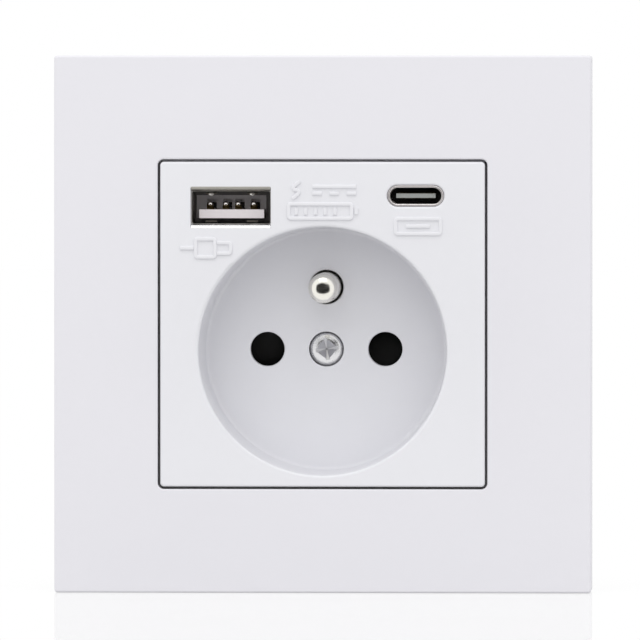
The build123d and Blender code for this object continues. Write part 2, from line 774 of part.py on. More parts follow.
def rear_base():
    """Housing behind the strap, with hooks, bosses, barriers, vents and entries for the wires."""
    outline = base_outline(BASE_WALL)
    base = slab(outline, 0, base_back)
    base = chamfer(base.edges().group_by(Axis.Y)[-1], BASE_EDGE)
    for side in (-1, 1):
        base += rod(STRAP_BOSS_D, 0, inner_back, side * strap_screw, -strap_screw)
    base -= slab(base_outline(0), -CUT, inner_back)
    base += base_inside()
    base += both_sides(hook())
    base -= rod(2 * (cup_r + CUP_GAP), -CUT, floor_back + SHUTTER_PLAY, 0, recess_z)

    strap_hole = STRAP_SCREW_LENGTH - STRAP_THICK + CUT
    carrier_hole = carrier_front + CARRIER_SCREW_LENGTH + CUT
    access = Cylinder(TERMINAL_HEAD_D / 2 + ACCESS_GAP, 2 * (BASE_WALL + CUT))
    for side in (-1, 1):
        thread_d = STRAP_SCREW_D + 2 * THREAD_GAP
        base -= rod(thread_d, -CUT, strap_hole, side * strap_screw, -strap_screw)
        thread_d = CARRIER_SCREW_D + 2 * THREAD_GAP
        base -= rod(
            thread_d, carrier_back - CUT, carrier_hole, side * carrier_screw_x, carrier_screw_z
        )
        base -= wire_entry(side * (terminal_in + terminal_out) / 2, terminal_z)
        base -= Pos(side * (inner_half + BASE_WALL), terminal_y, terminal_z) * Rot(0, 90, 0) * access
    base -= wire_entry(0, earth_terminal_z)
    base -= Pos(0, terminal_y, inner_bottom - BASE_WALL) * access
    return base - vents()


def contact_carrier():
    """Moulded plate that carries the shutter on a post, its stops, the nut and the earth pin."""
    plate = Pos(0, recess_z) * Circle(inner_half - CARRIER_INSET)
    plate -= rect((-inner_half, inner_half), (barrier_z - BARRIER_GAP, inner_top + inner_half))
    carrier = slab(plate, carrier_front, carrier_back)
    carrier += rod(BOSS_D, boss_back, carrier_front, 0, recess_z)
    carrier += rod(NUT_BOSS_D, carrier_back, nut_back, 0, recess_z)
    rest_stop = clockwise(-wing_deg - stop_deg, stop_r)
    open_stop = clockwise(180 + wing_deg + shutter_travel + stop_deg, stop_r)
    for stop in (rest_stop, open_stop):
        carrier += rod(STOP_D, floor_back + STOP_PLAY, carrier_front, *stop)
    anchor = clockwise(spring_end, peg_r, -LEG_CONTACT)
    carrier += rod(PEG_D, wing_back + SHUTTER_PLAY, carrier_front, *anchor)

    shank = CENTRE_SCREW_D + 2 * SHANK_GAP
    carrier -= rod(shank, boss_back - CUT, carrier_back + CUT, 0, recess_z)
    carrier -= rod(NUT_D + 2 * FIT_GAP, carrier_back, nut_back + CUT, 0, recess_z)
    carrier -= rod(PLUG_PIN_D + 2 * EARTH_FIT, carrier_front - CUT, carrier_back + CUT, 0, earth_z)
    for side in (-1, 1):
        pin_hole = PLUG_PIN_D + 2 * CARRIER_PIN_GAP
        carrier -= rod(pin_hole, carrier_front - CUT, carrier_back + CUT, side * pin_x, recess_z)
        screw_hole = CARRIER_SCREW_D + 2 * SHANK_GAP
        screw_x = side * carrier_screw_x
        carrier -= rod(screw_hole, carrier_front - CUT, carrier_back + CUT, screw_x, carrier_screw_z)
    return carrier


def carrier_screws():
    """Two screws from the carrier into the base."""
    screw = pan_screw(
        CARRIER_HEAD_D,
        CARRIER_HEAD,
        CARRIER_SCREW_D,
        CARRIER_SCREW_LENGTH,
        carrier_front,
        carrier_screw_x,
        carrier_screw_z,
    )
    return both_sides(screw)


def centre_nut():
    """Brass sleeve in the carrier that takes the centre screw."""
    nut = rod(NUT_D, carrier_back, nut_back, 0, recess_z)
    bore = CENTRE_SCREW_D + 2 * THREAD_GAP
    return nut - rod(bore, carrier_back - CUT, nut_back + CUT, 0, recess_z)


def shutter_wing():
    """Wing on the right: a ring sector whose front slopes back from its lower edge."""
    far = 2 * wing_r
    edge_x = far * cos(radians(wing_deg))
    edge_z = far * sin(radians(wing_deg))
    wedge = make_face(Polyline((0, 0), (edge_x, -edge_z), (edge_x, edge_z), close=True))
    sector = (Circle(wing_r) - Circle(hub_bore)) & wedge
    wing = slab(Pos(0, recess_z) * sector, wing_front, wing_back)
    half_height = wing_r * sin(radians(wing_deg))
    ramp = Polyline(
        (wing_front, recess_z - half_height),
        (wing_front, recess_z + half_height),
        (wing_front + RAMP_DROP, recess_z + half_height),
        close=True,
    )
    return wing - side_prism(make_face(ramp), (hub_r, wing_r + CUT))


def shutter():
    """Turning shutter: a hub with two ramped wings that cover the pin holes at rest."""
    hub = Circle(hub_r) - Circle(hub_bore)
    body = slab(Pos(0, recess_z) * hub, wing_front, hub_back)
    wing = shutter_wing()
    half_turn = Pos(0, 0, recess_z) * Rot(0, 180, 0) * Pos(0, 0, -recess_z)
    body += wing
    body += half_turn * wing
    peg = clockwise(spring_start, peg_r, LEG_CONTACT)
    return body + rod(PEG_D, wing_back, hub_back - SPRING_END_GAP, *peg)


def shutter_spring():
    """Torsion spring round the hub, with one leg on the shutter and one on the carrier."""
    height = SPRING_SPACE - WIRE_D - 2 * SPRING_END_GAP
    turns = SPRING_TURNS + ((spring_start - spring_end) % 360) / 360
    coil = Helix(height / turns, height, spring_r, lefthand=True)
    moving_leg = Line(coil @ 0 - (coil % 0) * LEG_LENGTH, coil @ 0)
    fixed_leg = Line(coil @ 1, coil @ 1 + (coil % 1) * LEG_LENGTH)
    path = Wire([moving_leg, *coil.edges(), fixed_leg])
    section = Plane(origin=path @ 0, z_dir=path % 0) * Circle(WIRE_D / 2)
    spring = sweep(section, path=path)
    out_x, out_z = clockwise(spring_start, 1.0)
    start = wing_back + SPRING_END_GAP + WIRE_D / 2
    place = Plane(origin=(0, start, recess_z), x_dir=(out_x, 0, out_z - recess_z), z_dir=(0, 1, 0))
    return place * spring


def earth_pin():
    """Round-nosed pin, held by a collar behind the carrier and riveted to the earth bar."""
    radius = PLUG_PIN_D / 2
    tip = floor_y - EARTH_REACH
    points = [
        (0, tip),
        (radius, tip),
        (radius, carrier_back),
        (EARTH_COLLAR_D / 2, carrier_back),
        (EARTH_COLLAR_D / 2, carrier_back + EARTH_COLLAR),
        (radius, carrier_back + EARTH_COLLAR),
        (radius, bar_front),
        (EARTH_SPIGOT_D / 2, bar_front),
        (EARTH_SPIGOT_D / 2, bar_back),
        (EARTH_RIVET_D / 2, bar_back),
        (EARTH_SPIGOT_D / 2, bar_back + EARTH_RIVET),
        (0, bar_back + EARTH_RIVET),
    ]
    pin = turned(points, z=earth_z)
    return fillet(pin.edges().sort_by(Axis.Y)[0], EARTH_TIP)


def earth_bar():
    """Strip from the earth pin down to the earth terminal, with a tab along its top."""
    half = BAR_WIDTH / 2
    outline = rect((-half, half), (earth_top, earth_z)) + Pos(0, earth_z) * Circle(half)
    outline -= Pos(0, earth_z) * Circle(EARTH_SPIGOT_D / 2 + FIT_GAP)
    bar = slab(outline, bar_front, bar_back)
    return bar + block((-half, half), (bar_front, inner_back), (earth_top, earth_top + BAR_THICK))


def live_contact():
    """Two spring jaws round the right plug pin, on a strip to the terminal and the board."""
    jaws = Circle(jaw_outer) - Circle(jaw_inner) - Rectangle(4 * jaw_outer, JAW_SPLIT)
    jaw_front = carrier_back + JAW_GAP
    contact = slab(Pos(pin_x, recess_z) * jaws, jaw_front, strip_front)
    mouth = [
        (0, jaw_front - CUT),
        (jaw_inner + JAW_MOUTH, jaw_front - CUT),
        (jaw_inner + JAW_MOUTH, jaw_front),
        (jaw_inner, jaw_front + JAW_MOUTH_DEPTH),
        (0, jaw_front + JAW_MOUTH_DEPTH),
    ]
    contact -= turned(mouth, pin_x, recess_z)
    low = recess_z - jaw_outer
    strip = rect((pin_x - jaw_outer, pin_x + jaw_outer), (low, recess_z + jaw_outer))
    strip += rect((pin_x, tail_out), (low, low + ARM_WIDTH))
    strip += rect((terminal_in, terminal_out), (terminal_top, low + ARM_WIDTH))
    strip += rect((tail_in, tail_out), (low, tail_top))
    contact += slab(strip, strip_front, inner_back)
    contact += block(
        (terminal_in, terminal_out),
        (terminal_front, inner_back),
        (terminal_top, terminal_top + STRIP),
    )
    return contact + block(
        (tail_in, tail_out), (board_back, inner_back), (tail_top - STRIP, tail_top)
    )


def live_terminal():
    """Brass block on the right with a wire bore from behind and a screw from the side."""
    middle = (terminal_in + terminal_out) / 2
    half = TERMINAL_HEIGHT / 2
    body = block(
        (terminal_in, terminal_out),
        (terminal_front, inner_back),
        (terminal_z - half, terminal_z + half),
    )
    body -= rod(WIRE_BORE_D, inner_back - WIRE_BORE, inner_back + CUT, middle, terminal_z)
    reach = terminal_out - middle
    tapped = Cylinder(TERMINAL_SCREW_D / 2 + THREAD_GAP, reach)
    return body - Pos(middle + reach / 2, terminal_y, terminal_z) * Rot(0, 90, 0) * tapped


def live_terminal_screw():
    """Clamping screw of the right terminal, with its head in the base's access hole."""
    tip = (terminal_in + terminal_out) / 2 + WIRE_BORE_D / 2
    head_low = terminal_out + TERMINAL_HEAD_RISE
    shank_r = TERMINAL_SCREW_D / 2
    head_r = TERMINAL_HEAD_D / 2
    points = [
        (0, tip),
        (shank_r / 2, tip),
        (shank_r, tip + shank_r / 2),
        (shank_r, head_low),
        (head_r, head_low),
        (head_r, head_low + TERMINAL_HEAD),
        (0, head_low + TERMINAL_HEAD),
    ]
    return Pos(0, terminal_y, terminal_z) * Rot(0, 0, -90) * turned(points)


def to_earth(shape):
    """A piece of the right terminal turned round to the earth terminal's place."""
    at_origin = Pos(-terminal_out, 0, -terminal_z) * shape
    return Pos(0, 0, earth_low) * Rot(0, 90, 0) * at_origin


def terminal_screws():
    """The three clamping screws."""
    screw = live_terminal_screw()
    return both_sides(screw) + to_earth(screw)


def charger_board():
    """Circuit board that arches over the cup."""
    outline = rect((-board_half, board_half), (board_low, board_top))
    outline &= Circle(base_round - BOARD_GAP)
    outline -= Pos(0, recess_z) * Circle(cup_r)
    return slab(outline, board_front, board_back)


def usb_a_shell():
    """Folded metal shell of the larger port, with spring fingers above and below."""
    place = Pos(usb_a_x, usb_a_z)
    outside = RectangleRounded(USB_A_WIDTH, USB_A_HEIGHT, USB_A_CORNER)
    inside_width = USB_A_WIDTH - 2 * SHEET_WALL
    inside_height = USB_A_HEIGHT - 2 * SHEET_WALL
    inside = RectangleRounded(inside_width, inside_height, USB_A_CORNER - SHEET_WALL)
    shell = slab(place * outside, usb_a_front, board_front)
    shell -= slab(place * inside, usb_a_front - CUT, board_front - SHEET_WALL)

    finger_front = usb_a_front + FINGER_START
    finger_back = finger_front + FINGER_LENGTH
    half_slot = FINGER_WIDTH / 2 + FINGER_SLOT
    inner = usb_a_z + inside_height / 2
    outer = usb_a_z + USB_A_HEIGHT / 2
    tongue = Polyline(
        (finger_back, inner),
        (finger_back, outer),
        (finger_front + FINGER_SLOT, outer - FINGER_BEND),
        (finger_front + FINGER_SLOT, inner - FINGER_BEND),
        close=True,
    )
    turn_over = Pos(0, 0, usb_a_z) * Rot(0, 180, 0) * Pos(0, 0, -usb_a_z)
    for x in (usb_a_x - FINGER_PLACE, usb_a_x + FINGER_PLACE):
        slot = block(
            (x - half_slot, x + half_slot),
            (finger_front, finger_back),
            (inner - FIT_GAP, outer + FIT_GAP),
        )
        finger = side_prism(make_face(tongue), (x - FINGER_WIDTH / 2, x + FINGER_WIDTH / 2))
        low_side = Pos(2 * x, 0, 0) * turn_over
        for cut, spring in ((slot, finger), (low_side * slot, low_side * finger)):
            shell -= cut
            shell += spring
    return shell


def usb_a_insulator():
    """Moulded block with the tongue that carries the larger port's contacts."""
    tongue_z = usb_a_z - TONGUE_A_DROP
    half = TONGUE_A_WIDTH / 2
    block_back = board_front - SHEET_WALL
    block_front = block_back - BLOCK_A
    body = block(
        (usb_a_x - half, usb_a_x + half),
        (usb_a_front + TONGUE_A_SINK, block_front),
        (tongue_z - TONGUE_A_THICK / 2, tongue_z + TONGUE_A_THICK / 2),
    )
    shell_gap = 2 * (SHEET_WALL + FIT_GAP)
    filler = RectangleRounded(
        USB_A_WIDTH - shell_gap, USB_A_HEIGHT - shell_gap, USB_A_CORNER - SHEET_WALL
    )
    body += slab(Pos(usb_a_x, usb_a_z) * filler, block_front, block_back)
    top = tongue_z + TONGUE_A_THICK / 2
    for place in CONTACT_A_PLACES:
        x = usb_a_x + place
        body -= block(
            (x - NOTCH_WIDTH / 2, x + NOTCH_WIDTH / 2),
            (block_front - CUT, block_front + NOTCH_DEPTH),
            (top, top + NOTCH_HEIGHT),
        )
    return body


def usb_a_contacts():
    """Four arched contact strips on the larger port's tongue."""
    top = usb_a_z - TONGUE_A_DROP + TONGUE_A_THICK / 2
    line_z = top + CONTACT_A_THICK / 2
    block_front = board_front - SHEET_WALL - BLOCK_A
    back = block_front + NOTCH_DEPTH
    front = usb_a_front + TONGUE_A_SINK + CONTACT_A_END
    foot = block_front - CONTACT_A_FOOT
    middle = (front + foot) / 2
    path = Line((back, line_z), (foot, line_z)) + ThreePointArc(
        (foot, line_z), (middle, line_z + CONTACT_A_ARCH), (front, line_z)
    )
    strip = trace(path, CONTACT_A_THICK)
    group = []
    for place in CONTACT_A_PLACES:
        x = usb_a_x + place
        low = block(
            (x - CONTACT_A_WIDTH, x + CONTACT_A_WIDTH),
            (front - CUT, back),
            (top, top + 2 * CONTACT_A_ARCH),
        )
        group.append(side_prism(strip, (x - CONTACT_A_WIDTH / 2, x + CONTACT_A_WIDTH / 2)) & low)
    return Compound(children=[solid for piece in group for solid in piece.solids()])


def usb_c_shell():
    """Drawn metal ring of the smaller port."""
    place = Pos(usb_c_x, usb_c_z)
    outside = SlotOverall(USB_C_WIDTH, USB_C_HEIGHT)
    inside = SlotOverall(USB_C_WIDTH - 2 * USB_C_WALL, USB_C_HEIGHT - 2 * USB_C_WALL)
    return slab(place * (outside - inside), usb_c_front, board_front)


def usb_c_insulator():
    """Moulded block with the thin tongue of the smaller port."""
    shell_gap = 2 * (USB_C_WALL + FIT_GAP)
    filler = SlotOverall(USB_C_WIDTH - shell_gap, USB_C_HEIGHT - shell_gap)
    body = slab(Pos(usb_c_x, usb_c_z) * filler, board_front - BLOCK_C, board_front)
    half = TONGUE_C_WIDTH / 2
    return body + block(
        (usb_c_x - half, usb_c_x + half),
        (usb_c_front + TONGUE_C_SINK, board_front - BLOCK_C),
        (usb_c_z - TONGUE_C_THICK / 2, usb_c_z + TONGUE_C_THICK / 2),
    )


def usb_c_contacts():
    """Rows of flat contacts above and below the smaller port's tongue."""
    front = usb_c_front + TONGUE_C_SINK + CONTACT_C_END
    back = board_front - BLOCK_C
    first = usb_c_x - CONTACT_C_PITCH * (CONTACT_C_COUNT - 1) / 2
    half = CONTACT_C_WIDTH / 2
    above = usb_c_z + TONGUE_C_THICK / 2
    below = usb_c_z - TONGUE_C_THICK / 2
    group = []
    for number in range(CONTACT_C_COUNT):
        x = first + number * CONTACT_C_PITCH
        for low in (above, below - CONTACT_C_THICK):
            strip = block((x - half, x + half), (front, back), (low, low + CONTACT_C_THICK))
            group.extend(strip.solids())
    return Compound(children=group)


def transformer_core():
    """Ferrite frame with a middle leg."""
    half_width = CORE_WIDTH / 2
    half_length = CORE_LENGTH / 2
    half_height = CORE_HEIGHT / 2
    core = Pos(core_x, core_y, core_z) * Box(CORE_WIDTH, CORE_LENGTH, CORE_HEIGHT)
    for side in (-1, 1):
        low, high = sorted((side * CORE_MIDDLE / 2, side * (half_length - CORE_LEG)))
        core -= block(
            (core_x - half_width + CORE_LEG, core_x + half_width - CORE_LEG),
            (core_y + low, core_y + high),
            (core_z - half_height - CUT, core_z + half_height + CUT),
        )
    return core


def transformer_winding():
    """Wound coil round the core's middle leg."""
    length = CORE_LENGTH - 2 * CORE_LEG - 2 * WINDING_GAP
    coil = Box(winding_width, length, WINDING_HEIGHT)
    coil = fillet(coil.edges().filter_by(Axis.X), WINDING_EDGE)
    coil -= Box(winding_width + CUT, CORE_MIDDLE + 2 * FIT_GAP, CORE_HEIGHT + 2 * FIT_GAP)
    return Pos(core_x, core_y, core_z) * coil


def can_capacitor(diameter, length, x, z):
    """Round capacitor with a crimped groove near the board."""
    radius = diameter / 2
    groove = board_back + CAN_GROOVE_PLACE
    end = board_back + length
    points = [
        (0, board_back),
        (radius, board_back),
        (radius, groove - CAN_GROOVE),
        (radius - CAN_GROOVE, groove),
        (radius, groove + CAN_GROOVE),
        (radius, end - CAN_GROOVE),
        (radius - CAN_GROOVE, end),
        (0, end),
    ]
    return turned(points, x, z)


def output_capacitors():
    """Smaller capacitors on the low-voltage side."""
    group = [
        can_capacitor(OUTPUT_CAN_D, OUTPUT_CAN_LENGTH, x, output_can_z) for x in output_can_places
    ]
    return Compound(children=[can.solid() for can in group])


def board_chips():
    """Row of flat chips on the board's front, between the ports."""
    high = board_top - CHIP_TOP_GAP
    group = [
        block(
            (x - CHIP_WIDTH / 2, x + CHIP_WIDTH / 2),
            (board_front - CHIP_THICK, board_front),
            (high - CHIP_HEIGHT, high),
        )
        for x in chip_places
    ]
    return Compound(children=[chip.solid() for chip in group])


nodes = {
    "cover_frame": cover_frame(),
    "socket_cover": socket_cover(),
    "centre_screw": centre_screw(),
    "centre_nut": centre_nut(),
    "mounting_strap": mounting_strap(),
    "strap_screws": strap_screws(),
    "rear_base": rear_base(),
    "contact_carrier": contact_carrier(),
    "carrier_screws": carrier_screws(),
    "shutter": shutter(),
    "shutter_spring": shutter_spring(),
    "earth_pin": earth_pin(),
    "earth_bar": earth_bar(),
    "live_contact": live_contact(),
    "neutral_contact": mirror(live_contact(), about=Plane.YZ),
    "live_terminal": live_terminal(),
    "neutral_terminal": mirror(live_terminal(), about=Plane.YZ),
    "earth_terminal": to_earth(live_terminal()),
    "terminal_screws": terminal_screws(),
    "charger_board": charger_board(),
    "board_chips": board_chips(),
    "transformer_core": transformer_core(),
    "transformer_winding": transformer_winding(),
    "input_capacitor": can_capacitor(INPUT_CAN_D, INPUT_CAN_LENGTH, input_can_x, input_can_z),
    "output_capacitors": output_capacitors(),
    "usb_a_shell": usb_a_shell(),
    "usb_a_insulator": usb_a_insulator(),
    "usb_a_contacts": usb_a_contacts(),
    "usb_c_shell": usb_c_shell(),
    "usb_c_insulator": usb_c_insulator(),
    "usb_c_contacts": usb_c_contacts(),
}

os.makedirs("parts", exist_ok=True)
for name, shape in nodes.items():
    export_step(shape, f"parts/{name}.step")
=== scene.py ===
"""Looks of a wall socket with two charging ports: finishes, signs, screws, light and camera."""

import json
from math import cos, pi, radians, sin, tau

import bmesh
import bpy
from mathutils import Matrix, Vector


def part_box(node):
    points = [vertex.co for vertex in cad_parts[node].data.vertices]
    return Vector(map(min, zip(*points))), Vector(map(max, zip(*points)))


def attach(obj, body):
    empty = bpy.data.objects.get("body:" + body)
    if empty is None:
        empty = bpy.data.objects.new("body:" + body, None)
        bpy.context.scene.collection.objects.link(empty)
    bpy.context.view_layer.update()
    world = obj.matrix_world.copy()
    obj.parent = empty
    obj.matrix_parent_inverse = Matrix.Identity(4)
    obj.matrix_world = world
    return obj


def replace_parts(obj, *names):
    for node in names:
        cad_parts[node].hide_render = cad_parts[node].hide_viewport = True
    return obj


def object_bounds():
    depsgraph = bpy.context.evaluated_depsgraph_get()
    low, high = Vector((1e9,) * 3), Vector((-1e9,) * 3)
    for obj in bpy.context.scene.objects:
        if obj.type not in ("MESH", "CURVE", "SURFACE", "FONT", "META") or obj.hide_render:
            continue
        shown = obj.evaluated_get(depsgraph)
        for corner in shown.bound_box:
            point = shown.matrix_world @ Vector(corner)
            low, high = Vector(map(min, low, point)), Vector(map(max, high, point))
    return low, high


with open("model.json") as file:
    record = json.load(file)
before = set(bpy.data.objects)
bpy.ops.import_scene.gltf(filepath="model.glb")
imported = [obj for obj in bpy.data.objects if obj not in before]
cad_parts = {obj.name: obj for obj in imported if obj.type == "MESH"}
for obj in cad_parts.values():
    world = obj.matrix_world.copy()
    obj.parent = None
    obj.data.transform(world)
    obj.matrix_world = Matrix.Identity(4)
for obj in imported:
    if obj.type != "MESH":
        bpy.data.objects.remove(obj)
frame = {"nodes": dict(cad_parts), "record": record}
cad_low, cad_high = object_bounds()
nodes = frame["nodes"]
MM = 0.001

# Photograph: its size, its scale on the plate's front, the plate's middle in it, and the camera's angle
PHOTO_PX = 640
PX_PER_MM = 6.25
PLATE_MIDDLE_PX = (322.4, 324.3)
VIEW_RIGHT_DEG = 2.5
VIEW_ABOVE_DEG = 1.2
VIEW_DISTANCE = 2.2
SENSOR_MM = 36.0
CAMERA_REACH = 50.0

# Light and stage
WHITE = (1.0, 1.0, 1.0, 1.0)
KEY_SIZE = (1.6, 1.2)
KEY_PLACE = (-0.1, -1.2, 2.1)
KEY_WATTS = 11.1
FILL_SIZE = (1.2, 1.2)
FILL_PLACE = (-0.1, -2.2, 1.1)
FILL_WATTS = 4.4
AMBIENT = 0.96
FLOOR_SIZE = (6.0, 6.0)
FLOOR_MIRROR = 0.3
FLOOR_MATT = 0.12
FLOOR_SHADOW_FROM = 0.05
FLOOR_SHADOW_TO = 0.12
FLOOR_PALE = (0.95, 0.95, 0.95, 1.0)
FLOOR_BOUNCE = (0.7, 0.7, 0.7, 1.0)
FLAG_SIZE = (0.066, 0.038)
FLAG_PLACE = (0.001, -0.05, 0.0055)
FLAG_TONE = (0.03, 0.03, 0.03, 1.0)

# Painted shade in the seam between the insert and the frame: the depths behind the front between which it
# darkens, its widths inside and outside the insert's edge, and how far its square is dropped, so the top
# seam, lit from above, stays paler
SEAM_START = 0.35 * MM
SEAM_END = 1.3 * MM
SEAM_INNER = 1.3 * MM
SEAM_OUTER = 0.9 * MM
SEAM_DROP = 1.0 * MM
SEAM_SHADE_TONE = (0.42, 0.42, 0.43, 1.0)

# Depths between which the insides of the ports are painted dark: painted shade in the larger port's shell
# and notches, and near black on the smaller port's insulator behind its tongue
SHELL_START = -6.9 * MM
SHELL_END = -5.0 * MM
NOTCH_START = 1.75 * MM
NOTCH_END = 2.1 * MM
TONGUE_START = -6.2 * MM
TONGUE_END = -5.6 * MM

# Painted shade in the corners beside and under the larger port's tongue: half the width between them and
# its shift, their top below the port's middle, and the depths between which the block there is painted
# darker
CORNER_HALF = 5.6 * MM
CORNER_SHIFT = -0.37 * MM
CORNER_TOP = 1.76 * MM
CORNER_START = 0.2 * MM
CORNER_END = 1.2 * MM

# Heights of the top of the notches' painted shade and of the band of painted shade under the upper lip, and
# half sizes of squares that reach past the port and past the whole part
NOTCH_TOP = 19.4 * MM
BAND_LOW = 20.55 * MM
PAST_PORT = 10.0 * MM
PAST_PART = 1.0

# Raised signs on the insert and on the base's back: section and bends of their ribs
SIGN_WIDTH = 0.6 * MM
SIGN_RISE = 0.3 * MM
SIGN_CORNER = 0.35 * MM
SIGN_ROUND = 0.14 * MM
TERMINAL_SIGN_WIDTH = 0.55 * MM
SECTION_STEPS = 3
BEND_STEPS = 5

# Shape of the screws: facets, and shares of the head or the shank at the crown, edge, seat and point
SCREW_SEGMENTS = 32
CROWN_STEPS = 6
CROWN_REACH = 0.96
HEAD_EDGE = 0.05
SEAT_REACH = 0.97
THREAD_STEPS = 4
THREAD_DEPTH = 0.22 * MM
THREAD_FROM = 0.3
THREAD_SHORTER = 0.8
POINT_REACH = 0.5
TURN_SEED = 7

# Drives of the screws: shares of the cross's length and width, how far the cutters pass the head, and the
# width of slivers that a cut leaves
CROSS_TIP = 0.037
CROSS_FLOOR = 0.14
CROSS_WEB = (0.02, 0.7)
CROSS_LIFT = 0.3
CROSS_TAPER = 0.35
SLOT_REACH = 1.2
SLOT_LIFT = 1.3
SLIVER = 0.002 * MM

# Screws of the solids' sizes, with their drives and seats, in mm
STRAP_SCREW = {"head_r": 2.5, "head": 1.8, "shank_r": 1.3, "length": 9.0, "pitch": 0.9, "dome": 0.55}
STRAP_CROSS = {"arm": 1.6, "width": 1.0, "depth": 1.1}
STRAP_SEAT = (20.25, -1.0, -20.25)
CARRIER_SCREW = {"head_r": 2.2, "head": 1.6, "shank_r": 1.1, "length": 8.0, "pitch": 0.8, "dome": 0.5}
CARRIER_CROSS = {"arm": 1.4, "width": 0.9, "depth": 1.0}
CARRIER_SEAT = (14.5, 13.2, 5.5)
TERMINAL_SCREW = {"head_r": 2.1, "head": 1.8, "shank_r": 1.5, "length": 2.2, "pitch": 0.5, "dome": 0.12}
TERMINAL_SLOT = {"width": 0.7, "depth": 0.9}
TERMINAL_SEAT = (21.7, 23.1, -13.4)
EARTH_SEAT = (0, 23.1, -25.1)
CENTRE_SCREW = {"head_r": 2.575, "head": 2.0, "shank_r": 1.5, "length": 10.6, "pitch": 0.8, "dome": 0.5}
CENTRE_CROSS = {"arm": 3.0, "width": 1.0, "depth": 1.0}
CENTRE_SEAT = (0, 8.7, -4.3)
CENTRE_TURN_DEG = 8.0

# Pressed dimples in the larger port: half sizes, places across it, and depth and height, in mm
BALL_STEPS = 10
CONTACT_DIMPLE = (0.46, 0.46, 0.46)
CONTACT_DIMPLE_ROW = (-18.2, -15.7, -13.7, -11.2)
CONTACT_DIMPLE_PLACE = (-3.9, 19.2)
FINGER_DIMPLE = (0.5, 0.34, 0.3)
FINGER_DIMPLE_ROW = (-18.0, -11.4)
FINGER_DIMPLE_PLACE = (-5.2, 20.8)

# Flared lips of the larger port's shell, on the slopes of its mouth, and the cover's overlap on the shell
LIP_HEIGHT = 0.7 * MM
UPPER_LIP_DEPTH = 1.0 * MM
UPPER_LIP_TURN_DEG = 55.0
LOWER_LIP_DEPTH = 0.7 * MM
LOWER_LIP_TURN_DEG = 75.0
LIP_STEPS = 12
LIP_SEAT = 0.05 * MM
MOUTH_DEPTH = 1.4 * MM
SHELL_COVER = 0.2 * MM

# Rolled rim of the smaller port's shell: its section, and how far it reaches past the shell's outside
RIM_WIDTH = 0.43 * MM
RIM_RISE = 0.22 * MM
RIM_ROUND = 0.2 * MM
RIM_REACH = 0.08 * MM
RIM_CORNER = 0.975

# Surface effects: scales and shares of their noise, and how far it swings the gloss
NOISE_MIDDLE = 0.5
FLOW_SCALE = 70.0
FLOW_SHARE = 0.6
CLOUD_SCALE = 900.0
CLOUD_SHARE = 0.4
GLOSS_SWING = 0.25
STREAK_STRETCH = (1.0, 0.06, 1.0)
TARNISH_SCALE = 420.0
TARNISH_SWING = 0.3
PATCH_SCALE = 160.0
PATCH_FROM = 0.55

# Tracks of the circuit board and tape of the winding: how often they repeat, their width and height
TRACK_SCALE = 260.0
TRACK_WIDTH = 0.035
TRACK_RISE = 2e-5
TAPE_SCALE = 130.0
TAPE_WAVER = 0.4
TAPE_EDGE = 6e-5

# Turns what is drawn flat on XY, or points up Z, to face the front
FRONTWARD = Matrix.Rotation(radians(90), 4, "X")


def colour(red, green, blue):
    """Linear colour of an 8-bit screen colour."""
    channels = []
    for value in (red, green, blue):
        share = value / 255
        channels.append(share / 12.92 if share <= 0.04045 else ((share + 0.055) / 1.055) ** 2.4)
    return (*channels, 1.0)


# Shared shader effects

def shader_group(name, inputs, outputs):
    """New shader node group with named sockets; returns it with its input and output nodes."""
    group = bpy.data.node_groups.new(name, "ShaderNodeTree")
    for label, kind in inputs:
        group.interface.new_socket(label, in_out="INPUT", socket_type=kind)
    for label, kind in outputs:
        group.interface.new_socket(label, in_out="OUTPUT", socket_type=kind)
    return group, group.nodes.new("NodeGroupInput"), group.nodes.new("NodeGroupOutput")


def math_node(tree, operation, first, second=0.0):
    """Math node whose inputs are sockets or plain numbers; returns its result."""
    node = tree.nodes.new("ShaderNodeMath")
    node.operation = operation
    for socket, value in zip(node.inputs, (first, second)):
        if isinstance(value, (int, float)):
            socket.default_value = value
        else:
            tree.links.new(value, socket)
    return node.outputs[0]


def noise_node(tree, vector, scale, detail):
    """Noise texture on a vector; returns its value."""
    node = tree.nodes.new("ShaderNodeTexNoise")
    node.inputs["Detail"].default_value = detail
    tree.links.new(vector, node.inputs["Vector"])
    if isinstance(scale, (int, float)):
        node.inputs["Scale"].default_value = scale
    else:
        tree.links.new(scale, node.inputs["Scale"])
    return node.outputs[0]


def shaded(tree, base, shade):
    """Colour times a shade value; returns the darkened colour."""
    node = tree.nodes.new("ShaderNodeVectorMath")
    node.operation = "SCALE"
    tree.links.new(base, node.inputs[0])
    tree.links.new(shade, node.inputs["Scale"])
    return node.outputs[0]


SURFACE_INPUTS = [
    ("Vector", "NodeSocketVector"),
    ("Colour", "NodeSocketColor"),
    ("Variation", "NodeSocketFloat"),
    ("Roughness", "NodeSocketFloat"),
    ("Grain", "NodeSocketFloat"),
]
SURFACE_OUTPUTS = [
    ("Colour", "NodeSocketColor"),
    ("Roughness", "NodeSocketFloat"),
    ("Height", "NodeSocketFloat"),
]


